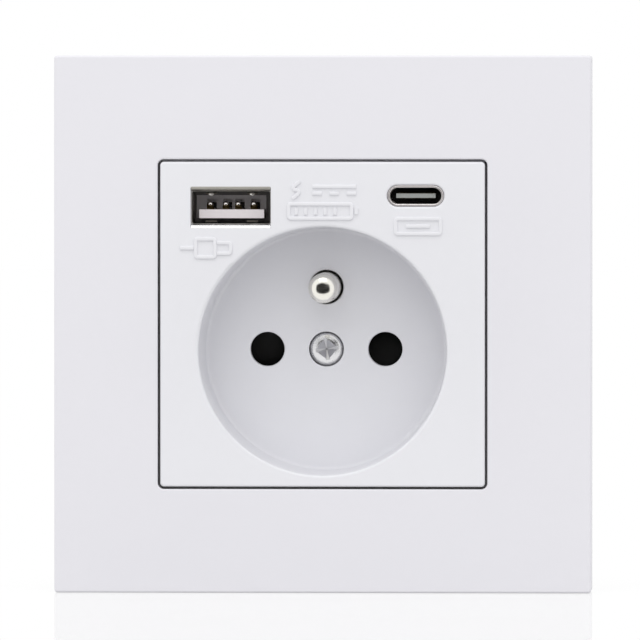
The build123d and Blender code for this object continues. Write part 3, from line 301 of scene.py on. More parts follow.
def moulded_grain():
    """Moulded plastic: cloudy flow of the colour, uneven gloss and a fine spark-eroded grain."""
    group, given, result = shader_group("moulded_grain", SURFACE_INPUTS, SURFACE_OUTPUTS)
    vector = given.outputs["Vector"]
    flow = noise_node(group, vector, FLOW_SCALE, detail=2.0)
    cloud = noise_node(group, vector, CLOUD_SCALE, detail=3.0)
    grain = noise_node(group, vector, given.outputs["Grain"], detail=2.0)
    broad = math_node(group, "MULTIPLY", flow, FLOW_SHARE)
    mixed = math_node(group, "ADD", broad, math_node(group, "MULTIPLY", cloud, CLOUD_SHARE))
    swing = math_node(group, "SUBTRACT", mixed, NOISE_MIDDLE)
    shade = math_node(group, "ADD", math_node(group, "MULTIPLY", swing, given.outputs["Variation"]), 1.0)
    gloss = math_node(group, "SUBTRACT", cloud, NOISE_MIDDLE)
    gloss = math_node(group, "MULTIPLY", gloss, GLOSS_SWING)
    group.links.new(shaded(group, given.outputs["Colour"], shade), result.inputs["Colour"])
    group.links.new(math_node(group, "ADD", given.outputs["Roughness"], gloss), result.inputs["Roughness"])
    group.links.new(grain, result.inputs["Height"])
    return group


def plated_sheen():
    """Plated or rolled metal: fine streaks along one way and cloudy tarnish."""
    group, given, result = shader_group("plated_sheen", SURFACE_INPUTS, SURFACE_OUTPUTS)
    vector = given.outputs["Vector"]
    streak_map = group.nodes.new("ShaderNodeMapping")
    streak_map.inputs["Scale"].default_value = STREAK_STRETCH
    group.links.new(vector, streak_map.inputs["Vector"])
    streak = noise_node(group, streak_map.outputs[0], given.outputs["Grain"], detail=3.0)
    tarnish = noise_node(group, vector, TARNISH_SCALE, detail=4.0)
    swing = math_node(group, "SUBTRACT", tarnish, NOISE_MIDDLE)
    shade = math_node(group, "ADD", math_node(group, "MULTIPLY", swing, given.outputs["Variation"]), 1.0)
    uneven = math_node(group, "MULTIPLY", swing, TARNISH_SWING)
    uneven = math_node(group, "ADD", uneven, given.outputs["Roughness"])
    scuffed = math_node(group, "SUBTRACT", streak, NOISE_MIDDLE)
    scuffed = math_node(group, "MULTIPLY", scuffed, GLOSS_SWING)
    group.links.new(shaded(group, given.outputs["Colour"], shade), result.inputs["Colour"])
    group.links.new(math_node(group, "ADD", uneven, scuffed), result.inputs["Roughness"])
    group.links.new(streak, result.inputs["Height"])
    return group


def handling_dust():
    """Light dust that gathers in patches: covers a colour and takes off its gloss."""
    group, given, result = shader_group(
        "handling_dust",
        [
            ("Vector", "NodeSocketVector"),
            ("Colour", "NodeSocketColor"),
            ("Roughness", "NodeSocketFloat"),
            ("Amount", "NodeSocketFloat"),
        ],
        SURFACE_OUTPUTS[:2],
    )
    patches = noise_node(group, given.outputs["Vector"], PATCH_SCALE, detail=6.0)
    mask = math_node(group, "GREATER_THAN", patches, PATCH_FROM)
    mask = math_node(group, "MULTIPLY", mask, patches)
    mask = math_node(group, "MULTIPLY", mask, given.outputs["Amount"])
    mix = group.nodes.new("ShaderNodeMix")
    mix.data_type = "RGBA"
    mix.inputs["B"].default_value = DUST
    group.links.new(mask, mix.inputs["Factor"])
    group.links.new(given.outputs["Colour"], mix.inputs["A"])
    group.links.new(mix.outputs["Result"], result.inputs["Colour"])
    group.links.new(math_node(group, "ADD", given.outputs["Roughness"], mask), result.inputs["Roughness"])
    return group


def depth_shade():
    """Darkens a colour with depth behind the front, within a square band round a middle."""
    group, given, result = shader_group(
        "depth_shade",
        [
            ("Vector", "NodeSocketVector"),
            ("Middle", "NodeSocketVector"),
            ("Colour", "NodeSocketColor"),
            ("Deep Colour", "NodeSocketColor"),
            ("Start", "NodeSocketFloat"),
            ("End", "NodeSocketFloat"),
            ("Inside", "NodeSocketFloat"),
            ("Outside", "NodeSocketFloat"),
        ],
        [("Colour", "NodeSocketColor")],
    )
    away = group.nodes.new("ShaderNodeVectorMath")
    away.operation = "SUBTRACT"
    group.links.new(given.outputs["Vector"], away.inputs[0])
    group.links.new(given.outputs["Middle"], away.inputs[1])
    parts = group.nodes.new("ShaderNodeSeparateXYZ")
    group.links.new(away.outputs[0], parts.inputs[0])
    across = math_node(group, "ABSOLUTE", parts.outputs["X"])
    up = math_node(group, "ABSOLUTE", parts.outputs["Z"])
    reach = math_node(group, "MAXIMUM", across, up)
    past_inside = math_node(group, "GREATER_THAN", reach, given.outputs["Inside"])
    within = math_node(group, "LESS_THAN", reach, given.outputs["Outside"])
    band = math_node(group, "MULTIPLY", past_inside, within)
    depth = group.nodes.new("ShaderNodeMapRange")
    group.links.new(parts.outputs["Y"], depth.inputs["Value"])
    group.links.new(given.outputs["Start"], depth.inputs["From Min"])
    group.links.new(given.outputs["End"], depth.inputs["From Max"])
    mix = group.nodes.new("ShaderNodeMix")
    mix.data_type = "RGBA"
    group.links.new(math_node(group, "MULTIPLY", band, depth.outputs[0]), mix.inputs["Factor"])
    group.links.new(given.outputs["Colour"], mix.inputs["A"])
    group.links.new(given.outputs["Deep Colour"], mix.inputs["B"])
    group.links.new(mix.outputs["Result"], result.inputs["Colour"])
    return group


DUST = colour(196, 194, 188)
GRAIN = moulded_grain()
SHEEN = plated_sheen()
SETTLED = handling_dust()
DEPTH = depth_shade()


# Materials

def blank_material(name):
    """New material with its node tree and its Principled shader."""
    material = bpy.data.materials.new(name)
    material.use_nodes = True
    return material, material.node_tree, material.node_tree.nodes["Principled BSDF"]


def object_vector(tree):
    """Object coordinates of the piece."""
    return tree.nodes.new("ShaderNodeTexCoord").outputs["Object"]


def place_group(tree, group, vector, values):
    """Puts a shared effect into a material with its own values; returns its node."""
    node = tree.nodes.new("ShaderNodeGroup")
    node.node_tree = group
    tree.links.new(vector, node.inputs["Vector"])
    for label, value in values.items():
        node.inputs[label].default_value = value
    return node


def bump(tree, height, depth, shader):
    """Feeds a height into the shader's normal."""
    node = tree.nodes.new("ShaderNodeBump")
    node.inputs["Strength"].default_value = 1.0
    node.inputs["Distance"].default_value = depth
    tree.links.new(height, node.inputs["Height"])
    tree.links.new(node.outputs["Normal"], shader.inputs["Normal"])


def finished(name, group, look, metallic=0.0, dust=0.0, deep=(), gloss=0.5):
    """Material of one shared surface effect, with optional dust and darker tones at depth."""
    tone, roughness, grain, variation, depth = look
    material, tree, shader = blank_material(name)
    vector = object_vector(tree)
    values = {"Colour": tone, "Variation": variation, "Roughness": roughness, "Grain": grain}
    surface = place_group(tree, group, vector, values)
    colour_out = surface.outputs["Colour"]
    roughness_out = surface.outputs["Roughness"]
    if dust:
        film = place_group(tree, SETTLED, vector, {"Amount": dust})
        tree.links.new(colour_out, film.inputs["Colour"])
        tree.links.new(roughness_out, film.inputs["Roughness"])
        colour_out = film.outputs["Colour"]
        roughness_out = film.outputs["Roughness"]
    for values in deep:
        shade = place_group(tree, DEPTH, vector, values)
        tree.links.new(colour_out, shade.inputs["Colour"])
        colour_out = shade.outputs["Colour"]
    tree.links.new(colour_out, shader.inputs["Base Color"])
    tree.links.new(roughness_out, shader.inputs["Roughness"])
    shader.inputs["Metallic"].default_value = metallic
    shader.inputs["Specular IOR Level"].default_value = gloss
    bump(tree, surface.outputs["Height"], depth, shader)
    return material


def moulded(name, tone, roughness, grain=9000.0, variation=0.03, depth=2e-6, **extras):
    """Moulded plastic, resin or ferrite."""
    return finished(name, GRAIN, (tone, roughness, grain, variation, depth), **extras)


def plated(name, tone, roughness, grain=5000.0, variation=0.15, depth=1e-6, **extras):
    """Plated, rolled or drawn metal."""
    return finished(name, SHEEN, (tone, roughness, grain, variation, depth), metallic=1.0, **extras)


def seam_shade(half):
    """Values of the painted shade in the seam between the frame and an insert of a half width."""
    return {
        "Middle": (0, 0, -SEAM_DROP),
        "Deep Colour": SEAM_SHADE_TONE,
        "Start": cad_low.y + SEAM_START,
        "End": cad_low.y + SEAM_END,
        "Inside": half - SEAM_INNER,
        "Outside": half + SEAM_OUTER,
    }


def port_shade(tone, start, end, middle=(0, 0, 0), inside=0.0, outside=PAST_PART):
    """Values of a darker tone inside a port, between two depths and two squares round a middle."""
    values = {"Deep Colour": tone, "Start": start, "End": end}
    return {**values, "Middle": middle, "Inside": inside, "Outside": outside}


def laminate_with_tracks(name):
    """Circuit board: green solder mask, paler where it runs over raised tracks."""
    material, tree, shader = blank_material(name)
    vector = object_vector(tree)
    turned = tree.nodes.new("ShaderNodeMapping")
    turned.inputs["Rotation"].default_value = (radians(90), 0, 0)
    tree.links.new(vector, turned.inputs["Vector"])
    tracks = tree.nodes.new("ShaderNodeTexBrick")
    tracks.inputs["Scale"].default_value = TRACK_SCALE
    tracks.inputs["Mortar Size"].default_value = TRACK_WIDTH
    tracks.inputs["Color1"].default_value = colour(18, 92, 52)
    tracks.inputs["Color2"].default_value = colour(22, 104, 58)
    tracks.inputs["Mortar"].default_value = colour(60, 146, 84)
    tree.links.new(turned.outputs[0], tracks.inputs["Vector"])
    surface = place_group(tree, GRAIN, vector, {"Variation": 0.1, "Roughness": 0.32, "Grain": 4000.0})
    tree.links.new(tracks.outputs["Color"], surface.inputs["Colour"])
    tree.links.new(surface.outputs["Colour"], shader.inputs["Base Color"])
    tree.links.new(surface.outputs["Roughness"], shader.inputs["Roughness"])
    bump(tree, tracks.outputs["Fac"], TRACK_RISE, shader)
    return material


def wound_tape(name):
    """Transformer's winding: yellow tape in overlapping turns."""
    material, tree, shader = blank_material(name)
    vector = object_vector(tree)
    turns = tree.nodes.new("ShaderNodeTexWave")
    turns.bands_direction = "X"
    turns.wave_profile = "SAW"
    turns.inputs["Scale"].default_value = TAPE_SCALE
    turns.inputs["Distortion"].default_value = TAPE_WAVER
    tree.links.new(vector, turns.inputs["Vector"])
    values = {"Colour": colour(222, 186, 74), "Variation": 0.2, "Roughness": 0.3, "Grain": 3000.0}
    surface = place_group(tree, GRAIN, vector, values)
    tree.links.new(surface.outputs["Colour"], shader.inputs["Base Color"])
    tree.links.new(surface.outputs["Roughness"], shader.inputs["Roughness"])
    bump(tree, turns.outputs["Fac"], TAPE_EDGE, shader)
    return material


# Painted shade in the seam round the insert, on the frame and on the cover
seam = seam_shade(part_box("socket_cover")[1].x)
WHITE_FRAME = moulded("white_frame", colour(229, 228, 233), 0.42, deep=[seam])
WHITE_COVER = moulded("white_cover", colour(231, 231, 235), 0.40, deep=[seam])
PALE_BASE = moulded("pale_base", colour(222, 221, 216), 0.55, grain=5000.0, depth=6e-6, dust=0.10)
BLACK_SHUTTER = moulded("black_shutter", colour(14, 14, 13), 0.6, variation=0.2, gloss=0.15)
ZINC_SCREW = plated("zinc_screw", colour(230, 230, 231), 0.24)
ZINC_STRAP = plated("zinc_strap", colour(190, 193, 198), 0.38, depth=3e-6, dust=0.12)
# Zinc painted darker inside the screws' drives, as painted shade in the recess
SHADED_DRIVE = plated("drive_recess", colour(200, 200, 202), 0.35)
SPRING_WIRE = plated("spring_wire", colour(176, 176, 174), 0.3)
NICKEL_PIN = plated("nickel_pin", colour(244, 242, 234), 0.2, variation=0.06, depth=1e-7)
STAMPED_BRASS = plated("stamped_brass", colour(214, 178, 102), 0.32)
# Painted shade: the larger port's shell is painted darker deeper inside
shell_shade = port_shade(colour(124, 118, 111), SHELL_START, SHELL_END)
PORT_SHEET = plated("port_sheet", colour(206, 202, 196), 0.34, deep=[shell_shade])
PORT_RING = plated("port_ring", colour(224, 220, 218), 0.55)
# Lit and shaded copies of one plating for the larger port's lips: the lower lip painted bright as lit from
# above, the upper lip painted darker as in shade
LIT_LIP = plated("bright_lip", colour(236, 236, 236), 0.3, variation=0.05, depth=1e-7)
SHADED_LIP = plated("dull_lip", colour(184, 181, 173), 0.4, variation=0.1, depth=1e-7)
PORT_RIM = plated("port_rim", colour(217, 212, 211), 0.36, variation=0.05, depth=1e-7)
POLISHED_DIMPLE = plated("polished_dimple", colour(250, 248, 244), 0.12, variation=0.02, depth=1e-8)
# Gilt contacts painted dark brown, as painted shade deep inside the larger port
SHADED_CONTACT = plated("gilt_contact", colour(112, 96, 62), 0.4)

port_low, port_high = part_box("usb_a_shell")
port_middle = (port_low + port_high) / 2
# Painted shade on the larger port's block: beside and under its tongue, in a band under its upper lip, and
# black in its notches' lower parts
corner_middle = (port_middle.x + CORNER_SHIFT, 0, port_middle.z - CORNER_TOP + CORNER_HALF)
corner_shade_tone = colour(134, 128, 128)
corner_shade = port_shade(corner_shade_tone, CORNER_START, CORNER_END, corner_middle, CORNER_HALF)
band_middle = (port_middle.x, 0, BAND_LOW - PAST_PORT)
band_shade = port_shade(corner_shade_tone, CORNER_START, CORNER_END, band_middle, PAST_PORT)
notch_middle = (port_middle.x, 0, NOTCH_TOP - PAST_PORT)
notch_shade = port_shade(colour(12, 12, 12), NOTCH_START, NOTCH_END, notch_middle, 0.0, PAST_PORT)
block_shades = [notch_shade, corner_shade, band_shade]
tongue_shade = port_shade(colour(10, 10, 10), TONGUE_START, TONGUE_END)
finish_of_slot = {
    "frame_plastic": WHITE_FRAME,
    "cover_plastic": WHITE_COVER,
    "base_plastic": PALE_BASE,
    "shutter_plastic": BLACK_SHUTTER,
    "screw_steel": ZINC_SCREW,
    "strap_steel": ZINC_STRAP,
    "spring_steel": SPRING_WIRE,
    "nickel": NICKEL_PIN,
    "brass": STAMPED_BRASS,
    "board_laminate": laminate_with_tracks("green_laminate"),
    "chip_resin": moulded("chip_resin", colour(32, 32, 34), 0.6, grain=6000.0, variation=0.2),
    "ferrite": moulded("fired_ferrite", colour(58, 57, 56), 0.7, grain=4000.0, variation=0.3, depth=1e-5),
    "winding_tape": wound_tape("yellow_tape"),
    "can_sleeve": moulded("can_sleeve", colour(34, 42, 66), 0.3, variation=0.1),
    "port_steel": PORT_SHEET,
    "white_insulator": moulded("white_insulator", colour(246, 240, 242), 0.45, deep=block_shades),
    "grey_insulator": moulded("grey_insulator", colour(172, 176, 174), 0.4, gloss=0.3, deep=[tongue_shade]),
    "contact_gold": SHADED_CONTACT,
}
for row in frame["record"]["subparts"]:
    slots = nodes[row["node"]].data.materials
    slots.clear()
    slots.append(finish_of_slot[row["material_slot"]])
nodes["usb_c_shell"].data.materials[0] = PORT_RING


# Pieces that stand for solids or sit on them

def socket_piece(name, mesh):
    """Finished piece: its mesh at the origin, riding on the socket."""
    piece = bpy.data.objects.new(name, mesh)
    bpy.context.scene.collection.objects.link(piece)
    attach(piece, "socket")
    return piece


def geometry_tree(name, inputs):
    """New geometry tree with named inputs for its sizes; returns it with its input and output nodes."""
    tree = bpy.data.node_groups.new(name, "GeometryNodeTree")
    tree.interface.new_socket("Geometry", in_out="INPUT", socket_type="NodeSocketGeometry")
    for label, kind in inputs:
        tree.interface.new_socket(label, in_out="INPUT", socket_type=kind)
    tree.interface.new_socket("Geometry", in_out="OUTPUT", socket_type="NodeSocketGeometry")
    return tree, tree.nodes.new("NodeGroupInput"), tree.nodes.new("NodeGroupOutput")


def close_tree(tree, given, result, last):
    """Ends a geometry tree: instances made real, and the finish set."""
    real = tree.nodes.new("GeometryNodeRealizeInstances")
    painted = tree.nodes.new("GeometryNodeSetMaterial")
    tree.links.new(last, real.inputs[0])
    tree.links.new(real.outputs[0], painted.inputs["Geometry"])
    tree.links.new(given.outputs["Finish"], painted.inputs["Material"])
    tree.links.new(painted.outputs[0], result.inputs[0])


def plain_mesh(holder):
    """Mesh of an object with its modifiers applied; the object is removed."""
    evaluated = holder.evaluated_get(bpy.context.evaluated_depsgraph_get())
    mesh = bpy.data.meshes.new_from_object(evaluated)
    mesh.name = holder.name
    holder.modifiers.clear()
    bpy.data.objects.remove(holder)
    return mesh


def grown(name, start, tree, values):
    """Plain mesh that a geometry tree makes from a start mesh with the given values."""
    holder = bpy.data.objects.new(name, start)
    bpy.context.scene.collection.objects.link(holder)
    modifier = holder.modifiers.new(name, "NODES")
    modifier.node_group = tree
    for item in tree.interface.items_tree:
        if item.in_out == "INPUT" and item.name in values:
            modifier[item.identifier] = values[item.name]
    return plain_mesh(holder)


# Signs

def rib_section(tree, given):
    """Rounded section of a sign's rib, as wide and high as the tree's inputs say."""
    section = tree.nodes.new("GeometryNodeCurvePrimitiveQuadrilateral")
    tree.links.new(given.outputs["Width"], section.inputs["Width"])
    tree.links.new(math_node(tree, "MULTIPLY", given.outputs["Rise"], 2.0), section.inputs["Height"])
    soft = tree.nodes.new("GeometryNodeFilletCurve")
    soft.mode = "POLY"
    soft.inputs["Count"].default_value = SECTION_STEPS
    tree.links.new(section.outputs[0], soft.inputs["Curve"])
    tree.links.new(given.outputs["Round"], soft.inputs["Radius"])
    return soft.outputs[0]


def raised_rib():
    """Geometry tree that runs a low rounded rib along the lines of a sign."""
    sizes = [("Width", "NodeSocketFloat"), ("Rise", "NodeSocketFloat"), ("Corner", "NodeSocketFloat")]
    sizes += [("Round", "NodeSocketFloat"), ("Finish", "NodeSocketMaterial")]
    tree, given, result = geometry_tree("raised_rib", sizes)
    line = tree.nodes.new("GeometryNodeMeshToCurve")
    tree.links.new(given.outputs["Geometry"], line.inputs[0])
    bend = tree.nodes.new("GeometryNodeFilletCurve")
    bend.mode = "POLY"
    bend.inputs["Count"].default_value = BEND_STEPS
    bend.inputs["Limit Radius"].default_value = True
    tree.links.new(line.outputs[0], bend.inputs["Curve"])
    tree.links.new(given.outputs["Corner"], bend.inputs["Radius"])
    upright = tree.nodes.new("GeometryNodeSetCurveNormal")
    upright.mode = "Z_UP"
    tree.links.new(bend.outputs[0], upright.inputs["Curve"])
    swept = tree.nodes.new("GeometryNodeCurveToMesh")
    swept.inputs["Fill Caps"].default_value = True
    tree.links.new(upright.outputs[0], swept.inputs["Curve"])
    tree.links.new(rib_section(tree, given), swept.inputs["Profile Curve"])
    close_tree(tree, given, result, swept.outputs[0])
    return tree


def sign_lines(name, signs):
    """Lines of several signs as one mesh: each sign is a place and its open or closed strokes, in mm."""
    points, edges = [], []
    for (x, y), strokes in signs:
        for stroke, closed in strokes:
            first = len(points)
            points += [((x + u) * MM, (y + v) * MM, 0) for u, v in stroke]
            edges += [(first + i, first + i + 1) for i in range(len(stroke) - 1)]
            if closed:
                edges.append((len(points) - 1, first))
    mesh = bpy.data.meshes.new(name)
    mesh.from_pydata(points, edges, [])
    return mesh


def frame_stroke(left, low, right, high):
    """Closed rectangular stroke."""
    return [(left, low), (right, low), (right, high), (left, high)], True


def bar_stroke(left, right, height):
    """Open level stroke."""
    return [(left, height), (right, height)], False


def post_stroke(x, low, high):
    """Open upright stroke."""
    return [(x, low), (x, high)], False


def raise_signs(name, signs, sizes, finish, place):
    """Raised signs on one face of the part, as one piece."""
    marks = grown(name, sign_lines(name, signs), RIB, {**sizes, "Finish": finish})
    marks.transform(place)
    socket_piece(name, marks)


# Strokes of each sign round its middle, in mm
direct_current = [bar_stroke(-3.5, 3.5, 0.55)]
direct_current += [bar_stroke(x - 0.75, x + 0.75, -0.55) for x in (-2.75, 0.0, 2.75)]
bolt = [([(0.6, 1.4), (-1.0, 0.05), (1.0, -0.05), (-0.6, -1.4)], False)]
gauge = [frame_stroke(-5.4, -1.15, 4.7, 1.15), post_stroke(5.4, -0.5, 0.5)]
gauge += [post_stroke(-4.2 + 1.55 * step, -0.55, 0.55) for step in range(5)]
plug = [bar_stroke(-4.1, -1.9, 0.0), frame_stroke(-1.6, -1.45, 1.5, 1.45)]
plug.append(([(1.8, -0.85), (4.0, -0.85), (4.0, 0.85), (1.8, 0.85)], False))
slim_port = [frame_stroke(-3.6, -1.2, 3.6, 1.2), bar_stroke(-1.9, 1.9, 0.0)]
live_letter = [([(-0.7, 1.2), (-0.7, -1.2), (0.8, -1.2)], False)]
neutral_letter = [([(-0.8, -1.2), (-0.8, 1.2), (0.8, -1.2), (0.8, 1.2)], False)]
earth_sign = [post_stroke(0.0, 0.3, 1.5), bar_stroke(-1.4, 1.4, 0.0)]
earth_sign += [bar_stroke(-0.9, 0.9, -0.7), bar_stroke(-0.35, 0.35, -1.4)]

# Places of the signs on the front and, seen from behind, on the back, in mm
front_signs = [
    ((1.9, 21.5), direct_current),
    ((-4.2, 21.5), bolt),
    ((0.0, 18.1), gauge),
    ((-18.7, 12.2), plug),
    ((15.3, 15.7), slim_port),
]
rear_signs = [
    ((-17.4, -9.2), live_letter),
    ((17.4, -9.2), neutral_letter),
    ((0.0, -16.4), earth_sign),
]

RIB = raised_rib()
sign_sizes = {"Width": SIGN_WIDTH, "Rise": SIGN_RISE, "Corner": SIGN_CORNER, "Round": SIGN_ROUND}
rear_sizes = {**sign_sizes, "Width": TERMINAL_SIGN_WIDTH}
to_front = Matrix.Translation((0, cad_low.y, 0)) @ FRONTWARD
to_back = Matrix(((-1, 0, 0, 0), (0, 0, 1, cad_high.y), (0, 1, 0, 0), (0, 0, 0, 1)))
raise_signs("port_signs", front_signs, sign_sizes, WHITE_COVER, to_front)
raise_signs("terminal_signs", rear_signs, rear_sizes, PALE_BASE, to_back)


# Screws

def ring_mesh(rows):
    """Closed body from rows of points round Z, from its top down: a row of one point is a pole."""
    body = bmesh.new()
    rings = [[body.verts.new(point) for point in row] for row in rows]
    for upper, lower in zip(rings, rings[1:]):
        for step in range(SCREW_SEGMENTS):
            after = (step + 1) % SCREW_SEGMENTS
            corners = [(lower, step), (lower, after), (upper, after), (upper, step)]
            face = list(dict.fromkeys(row[place % len(row)] for row, place in corners))
            if len(face) > 2:
                body.faces.new(face)
    return body


def ring(radius, height):
    """Row of points round Z at one height; the radius is a number or depends on the turn."""
    points = []
    for step in range(SCREW_SEGMENTS):
        turn = step / SCREW_SEGMENTS
        reach = radius(turn) if callable(radius) else radius
        points.append((reach * cos(turn * tau), reach * sin(turn * tau), height))
    return points


def thread_reach(radius, turns, fade):
    """Radius of a V-thread as it depends on the turn, at a height so many turns down."""
    return lambda turn: radius - THREAD_DEPTH * fade * abs(((turns + turn) % 1.0) * 2 - 1)


def thread_rows(radius, start, length, pitch):
    """Rows of a V-thread whose crests have the shank's radius, running out at both ends."""
    rows = []
    count = round(length / pitch) * THREAD_STEPS
    for row in range(count + 1):
        height = start - length * row / count
        fade = min(1.0, row / THREAD_STEPS, (count - row) / THREAD_STEPS)
        rows.append(ring(thread_reach(radius, row / THREAD_STEPS, fade), height))
    return rows


def screw_body(head_r, head, shank_r, length, pitch, dome):
    """Screw that points down Z from its head's seat, with a domed head and a threaded shank."""
    rows = [[(0, 0, head)]]
    for step in range(1, CROWN_STEPS + 1):
        share = step / CROWN_STEPS
        rows.append(ring(head_r * CROWN_REACH * share, head - dome * share**2))
    rows.append(ring(head_r, head - dome - HEAD_EDGE * head))
    rows.append(ring(head_r, HEAD_EDGE * head))
    rows.append(ring(head_r * SEAT_REACH, 0.0))
    rows.append(ring(shank_r, 0.0))
    rows += thread_rows(shank_r, -THREAD_FROM * shank_r, length - THREAD_SHORTER * shank_r, pitch)
    rows.append(ring(shank_r * POINT_REACH, -length))
    rows.append([(0, 0, -length)])
    return ring_mesh(rows)


def prism(low, high):
    """Closed frustum between two outlines of (x, y, z) points."""
    body = bmesh.new()
    bottom = [body.verts.new(point) for point in low]
    top = [body.verts.new(point) for point in high]
    body.faces.new(bottom[::-1])
    body.faces.new(top)
    for step in range(len(low)):
        after = (step + 1) % len(low)
        body.faces.new((bottom[step], bottom[after], top[after], top[step]))
    return body


def as_mesh(name, body):
    """Plain mesh of a body that is done with."""
    mesh = bpy.data.meshes.new(name)
    body.to_mesh(mesh)
    body.free()
    return mesh


def carved(body, cutter):
    """Mesh of a screw with its drive taken out of it, without the slivers of the cut."""
    tool = bpy.data.objects.new("cutter", as_mesh("cutter", cutter))
    tool.data.materials.append(SHADED_DRIVE)
    holder = bpy.data.objects.new("carved", as_mesh("carved", body))
    holder.data.materials.append(ZINC_SCREW)
    for part in (tool, holder):
        bpy.context.scene.collection.objects.link(part)
    cut = holder.modifiers.new("cut", "BOOLEAN")
    cut.solver = "EXACT"
    cut.material_mode = "TRANSFER"
    cut.object = tool
    mesh = plain_mesh(holder)
    bpy.data.objects.remove(tool)
    clean = bmesh.new()
    clean.from_mesh(mesh)
    bmesh.ops.remove_doubles(clean, verts=clean.verts, dist=SLIVER)
    bmesh.ops.dissolve_degenerate(clean, edges=clean.edges, dist=SLIVER)
    clean.to_mesh(mesh)
    clean.free()
    return mesh


def cross_outline(arm, half_width, web, height):
    """Cross round Z at a height: half its length, half its arms' width, and the web in its corners."""
    corner = [(arm, half_width), (half_width + web, half_width)]
    corner += [(y, x) for x, y in reversed(corner)]
    points = []
    for quarter in range(4):
        spin = Matrix.Rotation(quarter * pi / 2, 3, "Z")
        points += [tuple(spin @ Vector((x, y, height))) for x, y in corner]
    return points


def cross_cutter(head, arm, width, depth):
    """Tapered cross with a small web between its arms, for a cross-shaped drive."""
    lift = CROSS_LIFT * head
    widen = 1.0 + lift / depth * CROSS_TAPER
    floor_half = width * CROSS_FLOOR / 2
    low = cross_outline(floor_half + arm * CROSS_TIP, floor_half, arm * CROSS_WEB[0], head - depth)
    high = cross_outline(arm * widen, width / 2 * widen, arm * CROSS_WEB[1], head + lift)
    return prism(low, high)


def slot_cutter(head, head_r, width, depth):
    """Straight slot across a head."""
    reach = head_r * SLOT_REACH
    corners = [(-reach, -width / 2), (reach, -width / 2), (reach, width / 2), (-reach, width / 2)]
    low = [(x, y, head - depth) for x, y in corners]
    high = [(x, y, head * SLOT_LIFT) for x, y in corners]
    return prism(low, high)


def in_metres(sizes):
    """Named sizes in mm as metres."""
    return {name: value * MM for name, value in sizes.items()}


def cross_screw(sizes, cross):
    """Mesh of a screw with a cross-shaped drive, from sizes in mm."""
    screw = in_metres(sizes)
    return carved(screw_body(**screw), cross_cutter(screw["head"], **in_metres(cross)))


def slot_screw(sizes, slot):
    """Mesh of a screw with a straight slot, from sizes in mm."""
    screw = in_metres(sizes)
    return carved(screw_body(**screw), slot_cutter(screw["head"], screw["head_r"], **in_metres(slot)))


def copy_set():
    """Geometry tree that puts a copy at each point, along the point's axis, each turned its own way."""
    sizes = [("Master", "NodeSocketObject"), ("Turn Seed", "NodeSocketInt"), ("Turn", "NodeSocketFloat")]
    tree, given, result = geometry_tree("copy_set", sizes + [("Finish", "NodeSocketMaterial")])
    master = tree.nodes.new("GeometryNodeObjectInfo")
    tree.links.new(given.outputs["Master"], master.inputs["Object"])
    axis = tree.nodes.new("GeometryNodeInputNamedAttribute")
    axis.data_type = "FLOAT_VECTOR"
    axis.inputs["Name"].default_value = "axis"
    aimed = tree.nodes.new("FunctionNodeAlignRotationToVector")
    aimed.axis = "Z"
    tree.links.new(axis.outputs["Attribute"], aimed.inputs["Vector"])
    chance = tree.nodes.new("FunctionNodeRandomValue")
    chance.data_type = "FLOAT"
    tree.links.new(given.outputs["Turn Seed"], chance.inputs["Seed"])
    angle = math_node(tree, "MULTIPLY", chance.outputs[1], given.outputs["Turn"])
    spin = tree.nodes.new("FunctionNodeAxisAngleToRotation")
    tree.links.new(angle, spin.inputs["Angle"])
    turned = tree.nodes.new("FunctionNodeRotateRotation")
    turned.rotation_space = "LOCAL"
    tree.links.new(aimed.outputs[0], turned.inputs["Rotation"])
    tree.links.new(spin.outputs[0], turned.inputs["Rotate By"])
    placed = tree.nodes.new("GeometryNodeInstanceOnPoints")
    tree.links.new(given.outputs["Geometry"], placed.inputs["Points"])
    tree.links.new(master.outputs["Geometry"], placed.inputs["Instance"])
    tree.links.new(turned.outputs[0], placed.inputs["Rotation"])
    close_tree(tree, given, result, placed.outputs[0])
    return tree


def spread_out(name, mesh, seats, finish, turn=0.0):
    """Plain mesh with a copy of a small mesh at each seat, along its axis and turned by up to a turn."""
    master = bpy.data.objects.new("master", mesh)
    bpy.context.scene.collection.objects.link(master)
    points = bpy.data.meshes.new(name)
    points.from_pydata([tuple(MM * v for v in place) for place, axis in seats], [], [])
    axes = points.attributes.new("axis", "FLOAT_VECTOR", "POINT")
    for row, (place, axis) in zip(axes.data, seats):
        row.vector = axis
    values = {"Master": master, "Turn Seed": TURN_SEED, "Turn": turn, "Finish": finish}
    copies = grown(name, points, COPIES, values)
    bpy.data.objects.remove(master)
    return copies


def set_screws(name, mesh, seats):
    """Puts a screw at each seat, in place of the node of that name."""
    screws = spread_out(name, mesh, seats, ZINC_SCREW, turn=tau)
    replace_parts(socket_piece(name + "_threaded", screws), name)


def side_seats(seat, axis):
    """Seats on both sides of the middle: the right one as given, the left one mirrored."""
    return [((side * seat[0], *seat[1:]), (side * axis[0], *axis[1:])) for side in (-1, 1)]


COPIES = copy_set()
FORWARD = (0, -1, 0)
RIGHTWARD = (1, 0, 0)
DOWNWARD = (0, 0, -1)
set_screws("strap_screws", cross_screw(STRAP_SCREW, STRAP_CROSS), side_seats(STRAP_SEAT, FORWARD))
set_screws("carrier_screws", cross_screw(CARRIER_SCREW, CARRIER_CROSS), side_seats(CARRIER_SEAT, FORWARD))
terminal_seats = side_seats(TERMINAL_SEAT, RIGHTWARD) + [(EARTH_SEAT, DOWNWARD)]
set_screws("terminal_screws", slot_screw(TERMINAL_SCREW, TERMINAL_SLOT), terminal_seats)

